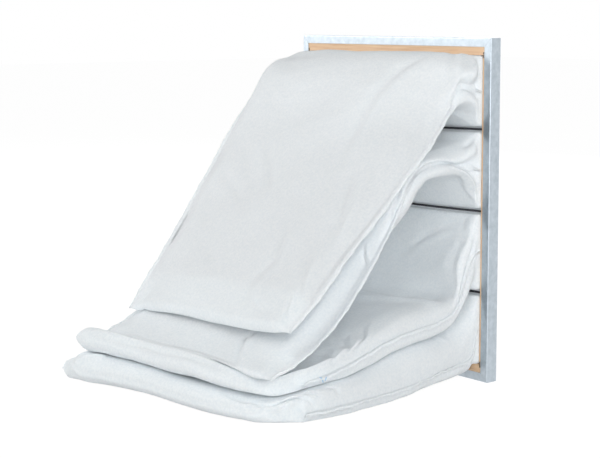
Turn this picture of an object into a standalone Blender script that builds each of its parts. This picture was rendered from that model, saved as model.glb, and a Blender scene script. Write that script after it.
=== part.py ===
"""Bag air filter: a galvanised channel frame round pine battens, with four white cloth pockets.

Metres, +Z up. The origin is at the middle of the underside of the bottom rail. X runs across
the frame, air flows towards -Y, and the empty pockets droop that way onto what the frame
stands on. Each pocket lies on the one below it.
"""

import math

import bmesh
import bpy
import numpy as np
from mathutils.bvhtree import BVHTree

for old in list(bpy.data.objects):
    bpy.data.objects.remove(old, do_unlink=True)

# Clearance between pieces that touch
GAP = 0.0003

# Header frame, folded from galvanised sheet
FRAME_WIDTH = 0.490
FRAME_HEIGHT = 0.592
FRAME_DEPTH = 0.025
FLANGE = 0.015
SHEET = 0.0008
BEND_RADIUS = 0.0018
BEND_STEPS = 4

# Pine battens inside the frame
BATTEN_HEIGHT = 0.028
SIDE_BATTEN_WIDTH = 0.018
BATTEN_DEPTH = 0.0195

# Steel rods that part the pocket mouths, and the cloth strips sewn behind them
POCKET_COUNT = 4
ROD_PITCH = 0.141
ROD_DIAMETER = 0.0038
ROD_SAG = 0.0040
ROD_SEAT_DEPTH = 0.010
ROD_INSET = 0.0034
ROD_SIDES = 10
ROD_STEPS = 12
MOUTH_SPACING = 0.010
STRIP_THICKNESS = 0.0015

# Staples across the corners of the battens
STAPLE_CROWN = 0.010
STAPLE_WIDTH = 0.0012
STAPLE_THICKNESS = 0.0006
STAPLE_LEG = 0.009
STAPLE_INSET = 0.0020

# Pocket cloth and the parts of a pocket
POCKET_LENGTH = 0.600
CLOTH = 0.0034
LIP_WIDTH = 0.011
LIP_THICKNESS = 0.0024
SEAM_BAND = 0.008
SEAM_THICKNESS = 0.0026
PILE_CLEARANCE = 0.0035
PILE_REACH = 0.012
LEAST_FULLNESS = 0.0100
CAVITY_DEPTH = 0.90
THINNEST_WALL = 0.35
MOUTH_CORNER = 0.006
MOUTH_BLEND = 0.022

# The pocket length and the half width of the mouth that the hanging lines are drawn for
DRAWN_LENGTH = 0.600
DRAWN_HALF = 0.2256

# Faces of a pocket: rows along it, columns across it, and places on its round sides, as shares
DRAPE_ROWS = 17
ROW_SPREAD = 1.15
END_START = 0.955
END_ROWS = (0.5, 0.85, 1.0)
INNER_COLUMNS = 9
SIDE_SHARES = (0.28, 0.55, 0.8, 1.0)
LINE_STEPS = 400

# How the round sides leave the corners and reach the stitches, and how open the sewn end stays
CORNER_BLEND = 2.2
CORNER_HANDLE = 0.42
STITCH_HANDLE = 0.50
END_OPENNESS = 0.2

SMOOTH_ANGLE = math.radians(40)

# Drape of each pocket, from the bottom one up. Each sheet hangs along three lines, down its left,
# its middle and its right, and each side seam has its own. A line's points are (distance out from
# the frame, height), drawn for pockets of DRAWN_LENGTH. A line is stretched to the real length, and
# to the height of the edge that it hangs from. A seam's place is its half width and its turn the
# angle in degrees at which the side comes to the stitches, both by share of the seam's length:
# under 90 the side comes from outside, and the seam lies in a groove between two lobes.
POCKETS = {
    "pocket_4": dict(
        upper_left=(
            (0, 0.150), (0.02, 0.120), (0.05, 0.100), (0.10, 0.090), (0.16, 0.086), (0.22, 0.074),
            (0.30, 0.058), (0.38, 0.050), (0.46, 0.046), (0.515, 0.046), (0.536, 0.042),
        ),
        upper_middle=(
            (0, 0.146), (0.02, 0.118), (0.05, 0.099), (0.10, 0.088), (0.16, 0.083), (0.22, 0.071),
            (0.30, 0.053), (0.38, 0.044), (0.44, 0.042), (0.478, 0.042), (0.492, 0.038),
        ),
        upper_right=(
            (0, 0.150), (0.012, 0.132), (0.030, 0.112), (0.050, 0.099), (0.088, 0.090),
            (0.150, 0.087), (0.188, 0.082), (0.228, 0.073), (0.290, 0.057), (0.360, 0.048),
            (0.410, 0.042), (0.450, 0.036), (0.470, 0.030),
        ),
        lower_left=((0, 0.032), (0.012, 0.014), (0.035, 0.003), (0.08, 0.0015), (0.532, 0.0015)),
        lower_middle=((0, 0.030), (0.012, 0.014), (0.035, 0.003), (0.08, 0.0015), (0.488, 0.0015)),
        lower_right=((0, 0.032), (0.008, 0.020), (0.022, 0.008), (0.05, 0.0015), (0.466, 0.0015)),
        seam_left=((0, 0.060), (0.04, 0.042), (0.10, 0.030), (0.20, 0.022), (0.36, 0.018), (0.540, 0.018)),
        seam_right=(
            (0, 0.052), (0.0095, 0.046), (0.0375, 0.037), (0.0765, 0.033), (0.1175, 0.027),
            (0.1575, 0.022), (0.300, 0.016), (0.402, 0.013),
        ),
        seam_place_left=((0, 0.2256), (0.15, 0.232), (0.6, 0.246), (1, 0.256)),
        seam_place_right=((0, 0.2256), (0.15, 0.228), (0.45, 0.236), (0.8, 0.248), (1, 0.240)),
        corner_place=0.186,
        seam_turn_left=((0, 90), (0.2, 70), (0.6, 90), (1, 120)),
        seam_turn_right=((0, 90), (0.1, 75), (0.5, 84), (0.8, 96), (1, 120)),
    ),
    "pocket_3": dict(
        upper_left=(
            (0, 0.291), (0.020, 0.255), (0.040, 0.212), (0.054, 0.172), (0.066, 0.154), (0.10, 0.150),
            (0.16, 0.146), (0.20, 0.138), (0.25, 0.122), (0.30, 0.106), (0.36, 0.088), (0.42, 0.074),
            (0.455, 0.070), (0.480, 0.081), (0.505, 0.090), (0.524, 0.085),
        ),
        upper_middle=(
            (0, 0.286), (0.018, 0.250), (0.036, 0.205), (0.050, 0.166), (0.063, 0.150), (0.10, 0.148),
            (0.15, 0.144), (0.20, 0.134), (0.25, 0.118), (0.30, 0.101), (0.35, 0.085), (0.40, 0.072),
            (0.435, 0.068), (0.460, 0.079), (0.480, 0.086), (0.496, 0.078),
        ),
        upper_right=(
            (0, 0.291), (0.0075, 0.279), (0.0245, 0.252), (0.0405, 0.228), (0.0515, 0.201),
            (0.0550, 0.174), (0.0610, 0.156), (0.0760, 0.149), (0.10, 0.149), (0.15, 0.145),
            (0.20, 0.135), (0.25, 0.118), (0.30, 0.100), (0.34, 0.087), (0.38, 0.075),
            (0.42, 0.068), (0.45, 0.070), (0.468, 0.062),
        ),
        lower_left=(
            (0, 0.160), (0.02, 0.154), (0.05, 0.126), (0.08, 0.106), (0.12, 0.096), (0.18, 0.091),
            (0.25, 0.077), (0.32, 0.060), (0.40, 0.051), (0.46, 0.050), (0.522, 0.055),
        ),
        lower_middle=(
            (0, 0.155), (0.02, 0.150), (0.05, 0.125), (0.08, 0.103), (0.12, 0.095), (0.18, 0.090),
            (0.25, 0.075), (0.32, 0.058), (0.40, 0.047), (0.45, 0.045), (0.494, 0.050),
        ),
        lower_right=(
            (0, 0.160), (0.012, 0.160), (0.030, 0.143), (0.050, 0.119), (0.070, 0.105), (0.10, 0.095),
            (0.16, 0.092), (0.20, 0.088), (0.24, 0.079), (0.29, 0.063), (0.36, 0.053), (0.42, 0.046),
            (0.464, 0.046),
        ),
        seam_left=(
            (0, 0.226), (0.02, 0.206), (0.04, 0.180), (0.055, 0.156), (0.07, 0.136), (0.10, 0.124),
            (0.15, 0.118), (0.20, 0.110), (0.25, 0.097), (0.30, 0.082), (0.36, 0.070), (0.42, 0.060),
            (0.46, 0.062), (0.524, 0.072),
        ),
        seam_right=(
            (0, 0.226), (0.018, 0.214), (0.036, 0.190), (0.050, 0.160), (0.064, 0.134), (0.10, 0.118),
            (0.15, 0.112), (0.20, 0.105), (0.25, 0.093), (0.30, 0.078), (0.36, 0.062), (0.39, 0.056),
        ),
        seam_place_left=((0, 0.2256), (0.15, 0.230), (0.5, 0.232), (1, 0.236)),
        seam_place_right=((0, 0.2256), (0.1, 0.229), (0.5, 0.230), (0.85, 0.228), (1, 0.219)),
        corner_place=0.186,
        seam_turn_left=((0, 90), (0.1, 70), (0.4, 80), (1, 130)),
        seam_turn_right=((0, 90), (0.1, 62), (0.3, 80), (0.6, 92), (1, 120)),
    ),
    "pocket_2": dict(
        upper_left=(
            (0, 0.432), (0.02, 0.418), (0.05, 0.410), (0.10, 0.400), (0.14, 0.383), (0.18, 0.350),
            (0.22, 0.303), (0.30, 0.217), (0.38, 0.136), (0.43, 0.097), (0.466, 0.080),
        ),
        upper_middle=(
            (0, 0.428), (0.02, 0.412), (0.05, 0.404), (0.10, 0.395), (0.14, 0.378), (0.18, 0.346),
            (0.22, 0.300), (0.30, 0.218), (0.38, 0.140), (0.44, 0.094), (0.468, 0.078),
        ),
        upper_right=(
            (0, 0.432), (0.008, 0.424), (0.025, 0.415), (0.05, 0.408), (0.08, 0.403), (0.115, 0.398),
            (0.145, 0.386), (0.175, 0.360), (0.20, 0.333), (0.25, 0.275), (0.30, 0.222), (0.35, 0.170),
            (0.40, 0.126), (0.44, 0.098), (0.470, 0.084),
        ),
        lower_left=(
            (0, 0.301), (0.02, 0.335), (0.05, 0.352), (0.10, 0.352), (0.13, 0.335), (0.16, 0.300),
            (0.20, 0.262), (0.26, 0.196), (0.34, 0.127), (0.40, 0.090), (0.464, 0.068),
        ),
        lower_middle=(
            (0, 0.305), (0.015, 0.326), (0.04, 0.341), (0.08, 0.341), (0.12, 0.330), (0.16, 0.296),
            (0.20, 0.256), (0.26, 0.192), (0.34, 0.124), (0.40, 0.090), (0.464, 0.068),
        ),
        lower_right=(
            (0, 0.301), (0.008, 0.318), (0.020, 0.338), (0.030, 0.350), (0.045, 0.355), (0.075, 0.355),
            (0.103, 0.358), (0.118, 0.358), (0.131, 0.346), (0.142, 0.328), (0.155, 0.308),
            (0.195, 0.268), (0.252, 0.206), (0.267, 0.191), (0.34, 0.131), (0.40, 0.095), (0.466, 0.073),
        ),
        seam_left=(
            (0, 0.369), (0.03, 0.377), (0.08, 0.385), (0.12, 0.378), (0.155, 0.352), (0.20, 0.305),
            (0.25, 0.248), (0.33, 0.158), (0.40, 0.100), (0.466, 0.075),
        ),
        seam_right=(
            (0, 0.369), (0.0115, 0.373), (0.0275, 0.375), (0.0585, 0.379), (0.0765, 0.384),
            (0.1185, 0.382), (0.1395, 0.374), (0.1555, 0.364), (0.1725, 0.346), (0.1855, 0.329),
            (0.2275, 0.278), (0.2725, 0.225), (0.3395, 0.150), (0.4025, 0.104), (0.4665, 0.079),
        ),
        seam_place_left=((0, 0.2256), (0.15, 0.230), (1, 0.230)),
        seam_place_right=((0, 0.2256), (0.12, 0.228), (0.4, 0.230), (1, 0.231)),
        corner_place=0.190,
        seam_turn_left=((0, 90), (0.1, 60), (0.3, 70), (0.5, 130), (1, 172)),
        seam_turn_right=((0, 90), (0.08, 48), (0.25, 48), (0.36, 75), (0.5, 135), (0.7, 168), (1, 174)),
    ),
    "pocket_1": dict(
        upper_left=(
            (0, 0.5626), (0.030, 0.562), (0.053, 0.553), (0.090, 0.545), (0.120, 0.526),
            (0.143, 0.496), (0.162, 0.465), (0.233, 0.367), (0.324, 0.242), (0.390, 0.150),
            (0.412, 0.124),
        ),
        upper_middle=(
            (0, 0.5626), (0.030, 0.567), (0.070, 0.555), (0.100, 0.529), (0.150, 0.464),
            (0.200, 0.402), (0.300, 0.284), (0.400, 0.167), (0.421, 0.142),
        ),
        upper_right=(
            (0, 0.5626), (0.020, 0.566), (0.045, 0.556), (0.075, 0.514), (0.130, 0.448),
            (0.180, 0.402), (0.229, 0.353), (0.308, 0.278), (0.370, 0.215), (0.427, 0.155),
        ),
        lower_left=(
            (0, 0.442), (0.020, 0.462), (0.050, 0.476), (0.080, 0.474), (0.110, 0.460),
            (0.143, 0.430), (0.170, 0.398), (0.233, 0.322), (0.324, 0.212), (0.390, 0.130),
            (0.410, 0.108),
        ),
        lower_middle=(
            (0, 0.438), (0.020, 0.452), (0.050, 0.456), (0.080, 0.446), (0.120, 0.420),
            (0.160, 0.385), (0.200, 0.346), (0.300, 0.248), (0.400, 0.144), (0.419, 0.124),
        ),
        lower_right=(
            (0, 0.442), (0.010, 0.455), (0.022, 0.466), (0.045, 0.472), (0.070, 0.462),
            (0.100, 0.430), (0.133, 0.398), (0.180, 0.358), (0.229, 0.308), (0.308, 0.235),
            (0.370, 0.180), (0.427, 0.137),
        ),
        seam_left=(
            (0, 0.505), (0.030, 0.512), (0.060, 0.518), (0.100, 0.503), (0.143, 0.462),
            (0.162, 0.440), (0.233, 0.345), (0.324, 0.226), (0.390, 0.142), (0.417, 0.112),
        ),
        seam_right=(
            (0, 0.507), (0.030, 0.508), (0.047, 0.512), (0.077, 0.472), (0.133, 0.418),
            (0.180, 0.380), (0.229, 0.332), (0.308, 0.258), (0.370, 0.198), (0.427, 0.146),
        ),
        seam_place_left=((0, 0.2256), (0.15, 0.232), (1, 0.230)),
        seam_place_right=((0, 0.2256), (0.08, 0.229), (0.3, 0.231), (1, 0.230)),
        corner_place=0.188,
        seam_turn_left=((0, 90), (0.08, 60), (0.2, 90), (0.4, 150), (1, 172)),
        seam_turn_right=((0, 90), (0.06, 45), (0.13, 70), (0.22, 125), (0.35, 165), (1, 174)),
    ),
}

front = -FRAME_DEPTH / 2
back = FRAME_DEPTH / 2
batten_front = front + SHEET + GAP
batten_back = batten_front + BATTEN_DEPTH
rod_place = batten_front + ROD_INSET
batten_low = SHEET + GAP
batten_high = FRAME_HEIGHT - SHEET - GAP
batten_reach = FRAME_WIDTH / 2 - SHEET - GAP
opening_half = batten_reach - SIDE_BATTEN_WIDTH
opening_low = batten_low + BATTEN_HEIGHT
opening_high = batten_high - BATTEN_HEIGHT
mouth_half = opening_half - GAP


def material(name, colour, roughness, metallic=0.0):
    """A plain Principled finish."""
    made = bpy.data.materials.new(name)
    made.use_nodes = True
    shader = made.node_tree.nodes["Principled BSDF"]
    shader.inputs["Base Color"].default_value = (*colour, 1)
    shader.inputs["Roughness"].default_value = roughness
    shader.inputs["Metallic"].default_value = metallic
    return made


STEEL = material("galvanised steel", (0.60, 0.65, 0.70), 0.38, 0.9)
PINE = material("pine", (0.80, 0.58, 0.36), 0.7)
ROD_STEEL = material("dark rod steel", (0.08, 0.08, 0.085), 0.45, 0.8)
WIRE = material("staple wire", (0.30, 0.30, 0.31), 0.4, 0.9)
FLEECE = material("white filter cloth", (0.86, 0.88, 0.89), 0.95)


def add_object(name, points, faces, finish, smooth=False):
    """A mesh object from points and faces, its faces turned outwards."""
    mesh = bpy.data.meshes.new(name)
    mesh.from_pydata([tuple(p) for p in points], [], faces)
    shape = bmesh.new()
    shape.from_mesh(mesh)
    bmesh.ops.recalc_face_normals(shape, faces=shape.faces)
    shape.to_mesh(mesh)
    shape.free()
    mesh.materials.append(finish)
    if smooth:
        mesh.shade_smooth()
        mesh.set_sharp_from_angle(angle=SMOOTH_ANGLE)
    piece = bpy.data.objects.new(name, mesh)
    bpy.context.collection.objects.link(piece)
    return piece


def add_box(name, low, high, finish):
    """A box between two corners."""
    points = [(x, y, z) for x in (low[0], high[0]) for y in (low[1], high[1]) for z in (low[2], high[2])]
    faces = [(0, 1, 3, 2), (4, 6, 7, 5), (0, 4, 5, 1), (2, 3, 7, 6), (0, 2, 6, 4), (1, 5, 7, 3)]
    return add_object(name, points, faces, finish)


def cut(piece, cutter):
    """Takes the cutter's shape out of a piece."""
    cutter.hide_render = True
    cutter.display_type = "WIRE"
    step = piece.modifiers.new(cutter.name, "BOOLEAN")
    step.operation = "DIFFERENCE"
    step.solver = "EXACT"
    step.object = cutter


# Channel rails: the flanges point inwards and the corners are mitred


def bend(centre, radius, start):
    """A quarter turn of the channel's section."""
    angles = (start + math.pi / 2 * step / BEND_STEPS for step in range(BEND_STEPS + 1))
    return [(centre[0] + radius * math.cos(a), centre[1] + radius * math.sin(a)) for a in angles]


def channel_section():
    """The U section, as distance in from the outer face and place across the depth."""
    near = (BEND_RADIUS, front + BEND_RADIUS)
    far = (BEND_RADIUS, back - BEND_RADIUS)
    outer = [(FLANGE, back)]
    outer += bend(far, BEND_RADIUS, math.pi / 2)
    outer += bend(near, BEND_RADIUS, math.pi)
    outer += [(FLANGE, front)]
    inner = [(FLANGE, back - SHEET)]
    inner += bend(far, BEND_RADIUS - SHEET, math.pi / 2)
    inner += bend(near, BEND_RADIUS - SHEET, math.pi)
    inner += [(FLANGE, front + SHEET)]
    return outer + inner[::-1]


def add_rail(name, length, place):
    """A mitred length of channel; place turns (along, inward, across) into a point."""
    section = channel_section()
    count = len(section)
    ends = [
        [place(side * (length / 2 - inward - GAP / 2), inward, across) for inward, across in section]
        for side in (-1, 1)
    ]
    sides = [(i, (i + 1) % count, (i + 1) % count + count, i + count) for i in range(count)]
    caps = [tuple(range(count))[::-1], tuple(range(count, 2 * count))]
    return add_object(name, ends[0] + ends[1], sides + caps, STEEL)


middle = FRAME_HEIGHT / 2
add_rail("top_rail", FRAME_WIDTH, lambda a, i, y: (a, y, FRAME_HEIGHT - i))
add_rail("bottom_rail", FRAME_WIDTH, lambda a, i, y: (a, y, i))
add_rail("left_rail", FRAME_HEIGHT, lambda a, i, y: (i - FRAME_WIDTH / 2, y, middle + a))
add_rail("right_rail", FRAME_HEIGHT, lambda a, i, y: (FRAME_WIDTH / 2 - i, y, middle + a))

# Battens: the top and bottom ones run the full width, the side ones stand between them

top_batten = add_box(
    "top_batten",
    (-batten_reach, batten_front, opening_high),
    (batten_reach, batten_back, batten_high),
    PINE,
)
bottom_batten = add_box(
    "bottom_batten",
    (-batten_reach, batten_front, batten_low),
    (batten_reach, batten_back, opening_low),
    PINE,
)
side_battens = []
for side, name in ((-1, "left_batten"), (1, "right_batten")):
    edges = sorted((side * opening_half, side * batten_reach))
    side_battens.append(
        add_box(
            name,
            (edges[0], batten_front, opening_low + GAP),
            (edges[1], batten_back, opening_high - GAP),
            PINE,
        )
    )

# Rods, seated in blind holes in the side battens


def rod_sag(x):
    """How far a rod hangs below its seats, at a place across the frame."""
    return ROD_SAG * max(0.0, 1 - (x / opening_half) ** 2)


def rod_height(index):
    """Height of the seats of a rod, counted from the top."""
    return middle + ((POCKET_COUNT - 2) / 2 - index) * ROD_PITCH


def add_round_bar(name, radius, reach, height, finish, sag):
    """A round bar along X, hanging by the given sag."""
    points = []
    for step in range(ROD_STEPS + 1):
        x = reach * (2 * step / ROD_STEPS - 1)
        for turn in range(ROD_SIDES):
            angle = 2 * math.pi * turn / ROD_SIDES
            y = rod_place + radius * math.cos(angle)
            points.append((x, y, height - sag(x) + radius * math.sin(angle)))
    faces = []
    for step in range(ROD_STEPS):
        for turn in range(ROD_SIDES):
            here = step * ROD_SIDES + turn
            beside = step * ROD_SIDES + (turn + 1) % ROD_SIDES
            faces.append((here, beside, beside + ROD_SIDES, here + ROD_SIDES))
    last = ROD_STEPS * ROD_SIDES
    faces.append(tuple(range(ROD_SIDES)))
    faces.append(tuple(range(last, last + ROD_SIDES)))
    return add_object(name, points, faces, finish, smooth=True)


def add_strip(name, height):
    """The cloth strip that joins two pockets behind a rod."""
    half_tall = MOUTH_SPACING / 2 - GAP
    low_y = rod_place + ROD_DIAMETER / 2 + GAP
    points = []
    for step in range(ROD_STEPS + 1):
        x = mouth_half * (2 * step / ROD_STEPS - 1)
        for y, rise in ((0, -1), (0, 1), (STRIP_THICKNESS, 1), (STRIP_THICKNESS, -1)):
            points.append((x, low_y + y, height - rod_sag(x) + rise * half_tall))
    faces = [(0, 1, 2, 3), tuple(range(4 * ROD_STEPS, 4 * ROD_STEPS + 4))]
    for step in range(ROD_STEPS):
        for turn in range(4):
            here = step * 4 + turn
            beside = step * 4 + (turn + 1) % 4
            faces.append((here, beside, beside + 4, here + 4))
    return add_object(name, points, faces, FLEECE)


for index in range(POCKET_COUNT - 1):
    rod_reach = opening_half + ROD_SEAT_DEPTH
    level = rod_height(index)
    add_round_bar(f"divider_rod_{index + 1}", ROD_DIAMETER / 2, rod_reach, level, ROD_STEEL, rod_sag)
    add_strip(f"joining_strip_{index + 1}", level)
    seat = add_round_bar(
        f"rod_seat_cutter_{index + 1}", ROD_DIAMETER / 2 + GAP, rod_reach + GAP, level, PINE, lambda x: 0.0
    )
    for batten in side_battens:
        cut(batten, seat)

# Staples across the joints of the battens, on the downstream face


def staple_points(x, joint, slack):
    """A flat U of wire across a joint, grown by slack on every side for its cutter."""
    half = STAPLE_WIDTH / 2 + slack
    reach = STAPLE_CROWN / 2 + slack
    wire = STAPLE_THICKNESS + 2 * slack
    crown_y = batten_front - GAP - STAPLE_THICKNESS - slack
    leg_y = batten_front + STAPLE_LEG + slack
    outline = [
        (crown_y, -reach),
        (crown_y, reach),
        (leg_y, reach),
        (leg_y, reach - wire),
        (crown_y + wire, reach - wire),
        (crown_y + wire, wire - reach),
        (leg_y, wire - reach),
        (leg_y, -reach),
    ]
    return [(x + s * half, y, joint + z) for s in (-1, 1) for y, z in outline]


def add_staple(name, x, joint, slack, finish):
    """A staple, or with some slack the cutter for its legs."""
    faces = [tuple(range(8))[::-1], tuple(range(8, 16))]
    faces += [(i, (i + 1) % 8, (i + 1) % 8 + 8, i + 8) for i in range(8)]
    return add_object(name, staple_points(x, joint, slack), faces, finish)


staple_place = opening_half + STAPLE_INSET
corners = (
    ("top_left", -staple_place, opening_high - GAP / 2, (top_batten, side_battens[0])),
    ("top_right", staple_place, opening_high - GAP / 2, (top_batten, side_battens[1])),
    ("bottom_left", -staple_place, opening_low + GAP / 2, (bottom_batten, side_battens[0])),
    ("bottom_right", staple_place, opening_low + GAP / 2, (bottom_batten, side_battens[1])),
)
for corner, x, joint, joined in corners:
    add_staple(f"corner_staple_{corner}", x, joint, 0.0, WIRE)
    leg_cutter = add_staple(f"staple_cutter_{corner}", x, joint, GAP, PINE)
    for batten in joined:
        cut(batten, leg_cutter)

# Pockets


def smooth_through(points, at):
    """Values at some places on a smooth curve through (place, value) points."""
    place, value = np.array(points, float).T
    slope = np.gradient(value, place)
    at = np.clip(np.asarray(at, float), place[0], place[-1])
    i = np.clip(np.searchsorted(place, at) - 1, 0, len(place) - 2)
    span = place[i + 1] - place[i]
    t = (at - place[i]) / span
    start = (1 + 2 * t) * (1 - t) ** 2 * value[i] + t * (1 - t) ** 2 * span * slope[i]
    end = t * t * (3 - 2 * t) * value[i + 1] + t * t * (t - 1) * span * slope[i + 1]
    return start + end


def ease(share):
    """A smooth step from 0 to 1."""
    share = np.clip(share, 0, 1)
    return share * share * (3 - 2 * share)


def hanging_line(points, edge, shares):
    """Points at shares of the length of a drawn line, once it hangs from an edge at its real height."""
    drawn = np.array(points, float)
    knots = drawn * [POCKET_LENGTH / DRAWN_LENGTH, edge / drawn[0, 1]]
    chord = np.concatenate([[0], np.cumsum(np.linalg.norm(np.diff(knots, axis=0), axis=1))])
    fine = np.linspace(0, chord[-1], LINE_STEPS)
    line = np.stack([smooth_through(np.stack([chord, k], 1), fine) for k in knots.T], 1)
    length = np.concatenate([[0], np.cumsum(np.linalg.norm(np.diff(line, axis=0), axis=1))])
    return np.stack([np.interp(shares * length[-1], length, k) for k in line.T], 1)


def mouth_edges(index):
    """The top and bottom of a pocket's mouth at its sides, and whether each hangs on a rod."""
    top_on_rod = index > 0
    bottom_on_rod = index < POCKET_COUNT - 1
    top = rod_height(index - 1) - MOUTH_SPACING / 2 if top_on_rod else opening_high - GAP
    bottom = rod_height(index) + MOUTH_SPACING / 2 if bottom_on_rod else opening_low + GAP
    return top, bottom, top_on_rod, bottom_on_rod


along = np.concatenate([
    END_START * (np.arange(DRAPE_ROWS + 1) / DRAPE_ROWS) ** ROW_SPREAD,
    END_START + (1 - END_START) * np.array(END_ROWS),
])
inner_across = np.sin(np.linspace(-1, 1, INNER_COLUMNS + 1) * math.pi / 2)
side_columns = len(SIDE_SHARES) + 1
first_inner, last_inner = side_columns, side_columns + INNER_COLUMNS


class Pocket:
    """The hanging shape of one pocket, before it lies on the pile."""

    def __init__(self, index):
        self.name = f"pocket_{index + 1}"
        self.lines = POCKETS[self.name]
        self.top, self.bottom, self.top_on_rod, self.bottom_on_rod = mouth_edges(index)
        self.middle = (self.top + self.bottom) / 2

    def mouth(self, which):
        """Places across the mouth, with a round corner and a straight side."""
        rise = 1 if which == "upper" else -1
        level = self.top if which == "upper" else self.bottom
        seam = self.middle + rise * SEAM_THICKNESS / 2
        shares = np.array(SIDE_SHARES)
        turn = np.minimum(shares / SIDE_SHARES[0], 1) * math.pi / 2
        x = mouth_half - MOUTH_CORNER * (1 - np.sin(turn))
        z = level - rise * MOUTH_CORNER * (1 - np.cos(turn))
        run = np.clip((shares - SIDE_SHARES[0]) / (1 - SIDE_SHARES[0]), 0, 1)
        z = z + (seam - z) * run
        x, z = np.append(x, mouth_half), np.append(z, seam)
        inner_x = inner_across * (mouth_half - MOUTH_CORNER)
        across = np.concatenate([-x[::-1], inner_x, x])
        height = np.concatenate([z[::-1], np.full(len(inner_x), level), z])
        on_rod = self.top_on_rod if which == "upper" else self.bottom_on_rod
        if on_rod:
            drop = np.array([rod_sag(place) for place in across])
            height = height - drop * np.abs(height - self.middle) / abs(level - self.middle)
        return across, height

    def side(self, side, which, corner, slope):
        """The round side from a corner to the stitches and the flat hem, for every row."""
        name = "left" if side < 0 else "right"
        rise = 1 if which == "upper" else -1
        seam = hanging_line(self.lines[f"seam_{name}"], self.middle, along)
        place = smooth_through(self.lines[f"seam_place_{name}"], along) + mouth_half - DRAWN_HALF
        stitch = np.stack([side * place, front - seam[:, 0], seam[:, 1]], 1)
        stitch[:, 2] += rise * SEAM_THICKNESS / 2
        turn = np.radians(smooth_through(self.lines[f"seam_turn_{name}"], along))
        way = np.stack([side * np.cos(turn), np.zeros_like(turn), rise * np.sin(turn)], 1)
        reach = np.linalg.norm(stitch - corner, axis=1)[:, None]
        first = corner + slope / np.linalg.norm(slope, axis=1)[:, None] * reach * CORNER_HANDLE
        second = stitch + way * reach * STITCH_HANDLE
        columns = []
        for t in SIDE_SHARES:
            weights = ((1 - t) ** 3, 3 * t * (1 - t) ** 2, 3 * t * t * (1 - t), t**3)
            columns.append(sum(w * p for w, p in zip(weights, (corner, first, second, stitch))))
        columns.append(stitch + [side * SEAM_BAND, 0, 0])
        return columns

    def sheet(self, which):
        """Points of one sheet, row by row from the frame outwards."""
        edge = self.top if which == "upper" else self.bottom
        left, middle, right = (
            hanging_line(self.lines[f"{which}_{part}"], edge, along)[:, None, :]
            for part in ("left", "middle", "right")
        )
        share = np.abs(inner_across)[None, :, None] ** CORNER_BLEND
        hung = middle + np.where(inner_across[None, :, None] < 0, left - middle, right - middle) * share
        corner = self.lines["corner_place"] + mouth_half - DRAWN_HALF
        x = np.broadcast_to(inner_across * corner, hung.shape[:2])
        inner = np.stack([x, front - hung[..., 0], hung[..., 1]], -1)
        left_side = self.side(-1, which, inner[:, 0], inner[:, 0] - inner[:, 1])
        right_side = self.side(1, which, inner[:, -1], inner[:, -1] - inner[:, -2])
        columns = left_side[::-1] + [inner[:, i] for i in range(inner.shape[1])] + right_side
        grid = np.stack(columns, 1)
        x, z = self.mouth(which)
        share = ease((front - grid[..., 1]) / MOUTH_BLEND)
        share[0] = 0
        grid[..., 0] = x + (grid[..., 0] - x) * share
        grid[..., 2] = z + (grid[..., 2] - z) * share
        grid[0, :, 1] = front
        return grid


def ground_height(pile, x, y):
    """Height of the pile at a place, or of the floor."""
    starts = ((x + shift, y, 2 * FRAME_HEIGHT) for shift in (-PILE_REACH, 0.0, PILE_REACH))
    hits = (pile.ray_cast(start, (0, 0, -1))[0] for start in starts) if pile else ()
    return max((hit.z + PILE_CLEARANCE for hit in hits if hit), default=0.0)


def settle(upper, lower, pile):
    """Lays the lower sheet on the pile, and the upper one on the lower."""
    for row in range(1, len(along)):
        for column in range(lower.shape[1]):
            x, y, z = lower[row, column]
            lower[row, column, 2] = max(z, ground_height(pile, x, y) * ease((front - y) / MOUTH_BLEND))
    least = np.full(lower.shape[1], LEAST_FULLNESS)
    least[:side_columns] = SEAM_THICKNESS
    least[-side_columns:] = SEAM_THICKNESS
    least = np.where(np.arange(len(along))[:, None] > 0, least, 0)
    upper[..., 2] = np.maximum(upper[..., 2], lower[..., 2] + least)


def round_end(upper, lower):
    """Brings the sheets together in a round end."""
    middle = (upper + lower) / 2
    into_end = np.clip((along - END_START) / (1 - END_START), 0, 1)
    close = np.sqrt(1 - (1 - END_OPENNESS**2) * into_end**2)[:, None, None]
    return middle + (upper - middle) * close, middle + (lower - middle) * close


def hollow_rows(upper, lower):
    """The hollow's own points, one cloth's thickness inside both sheets where there is room."""
    inside = slice(first_inner - 1, last_inner + 2)
    top, low = upper[:, inside].copy(), lower[:, inside].copy()
    inset = np.minimum(CLOTH, THINNEST_WALL * (top[..., 2] - low[..., 2]))
    top[..., 2] -= inset
    low[..., 2] += inset
    for rows in (top, low):
        rows[:, 0, 0] += CLOTH
        rows[:, -1, 0] -= CLOTH
    return top, low


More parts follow.
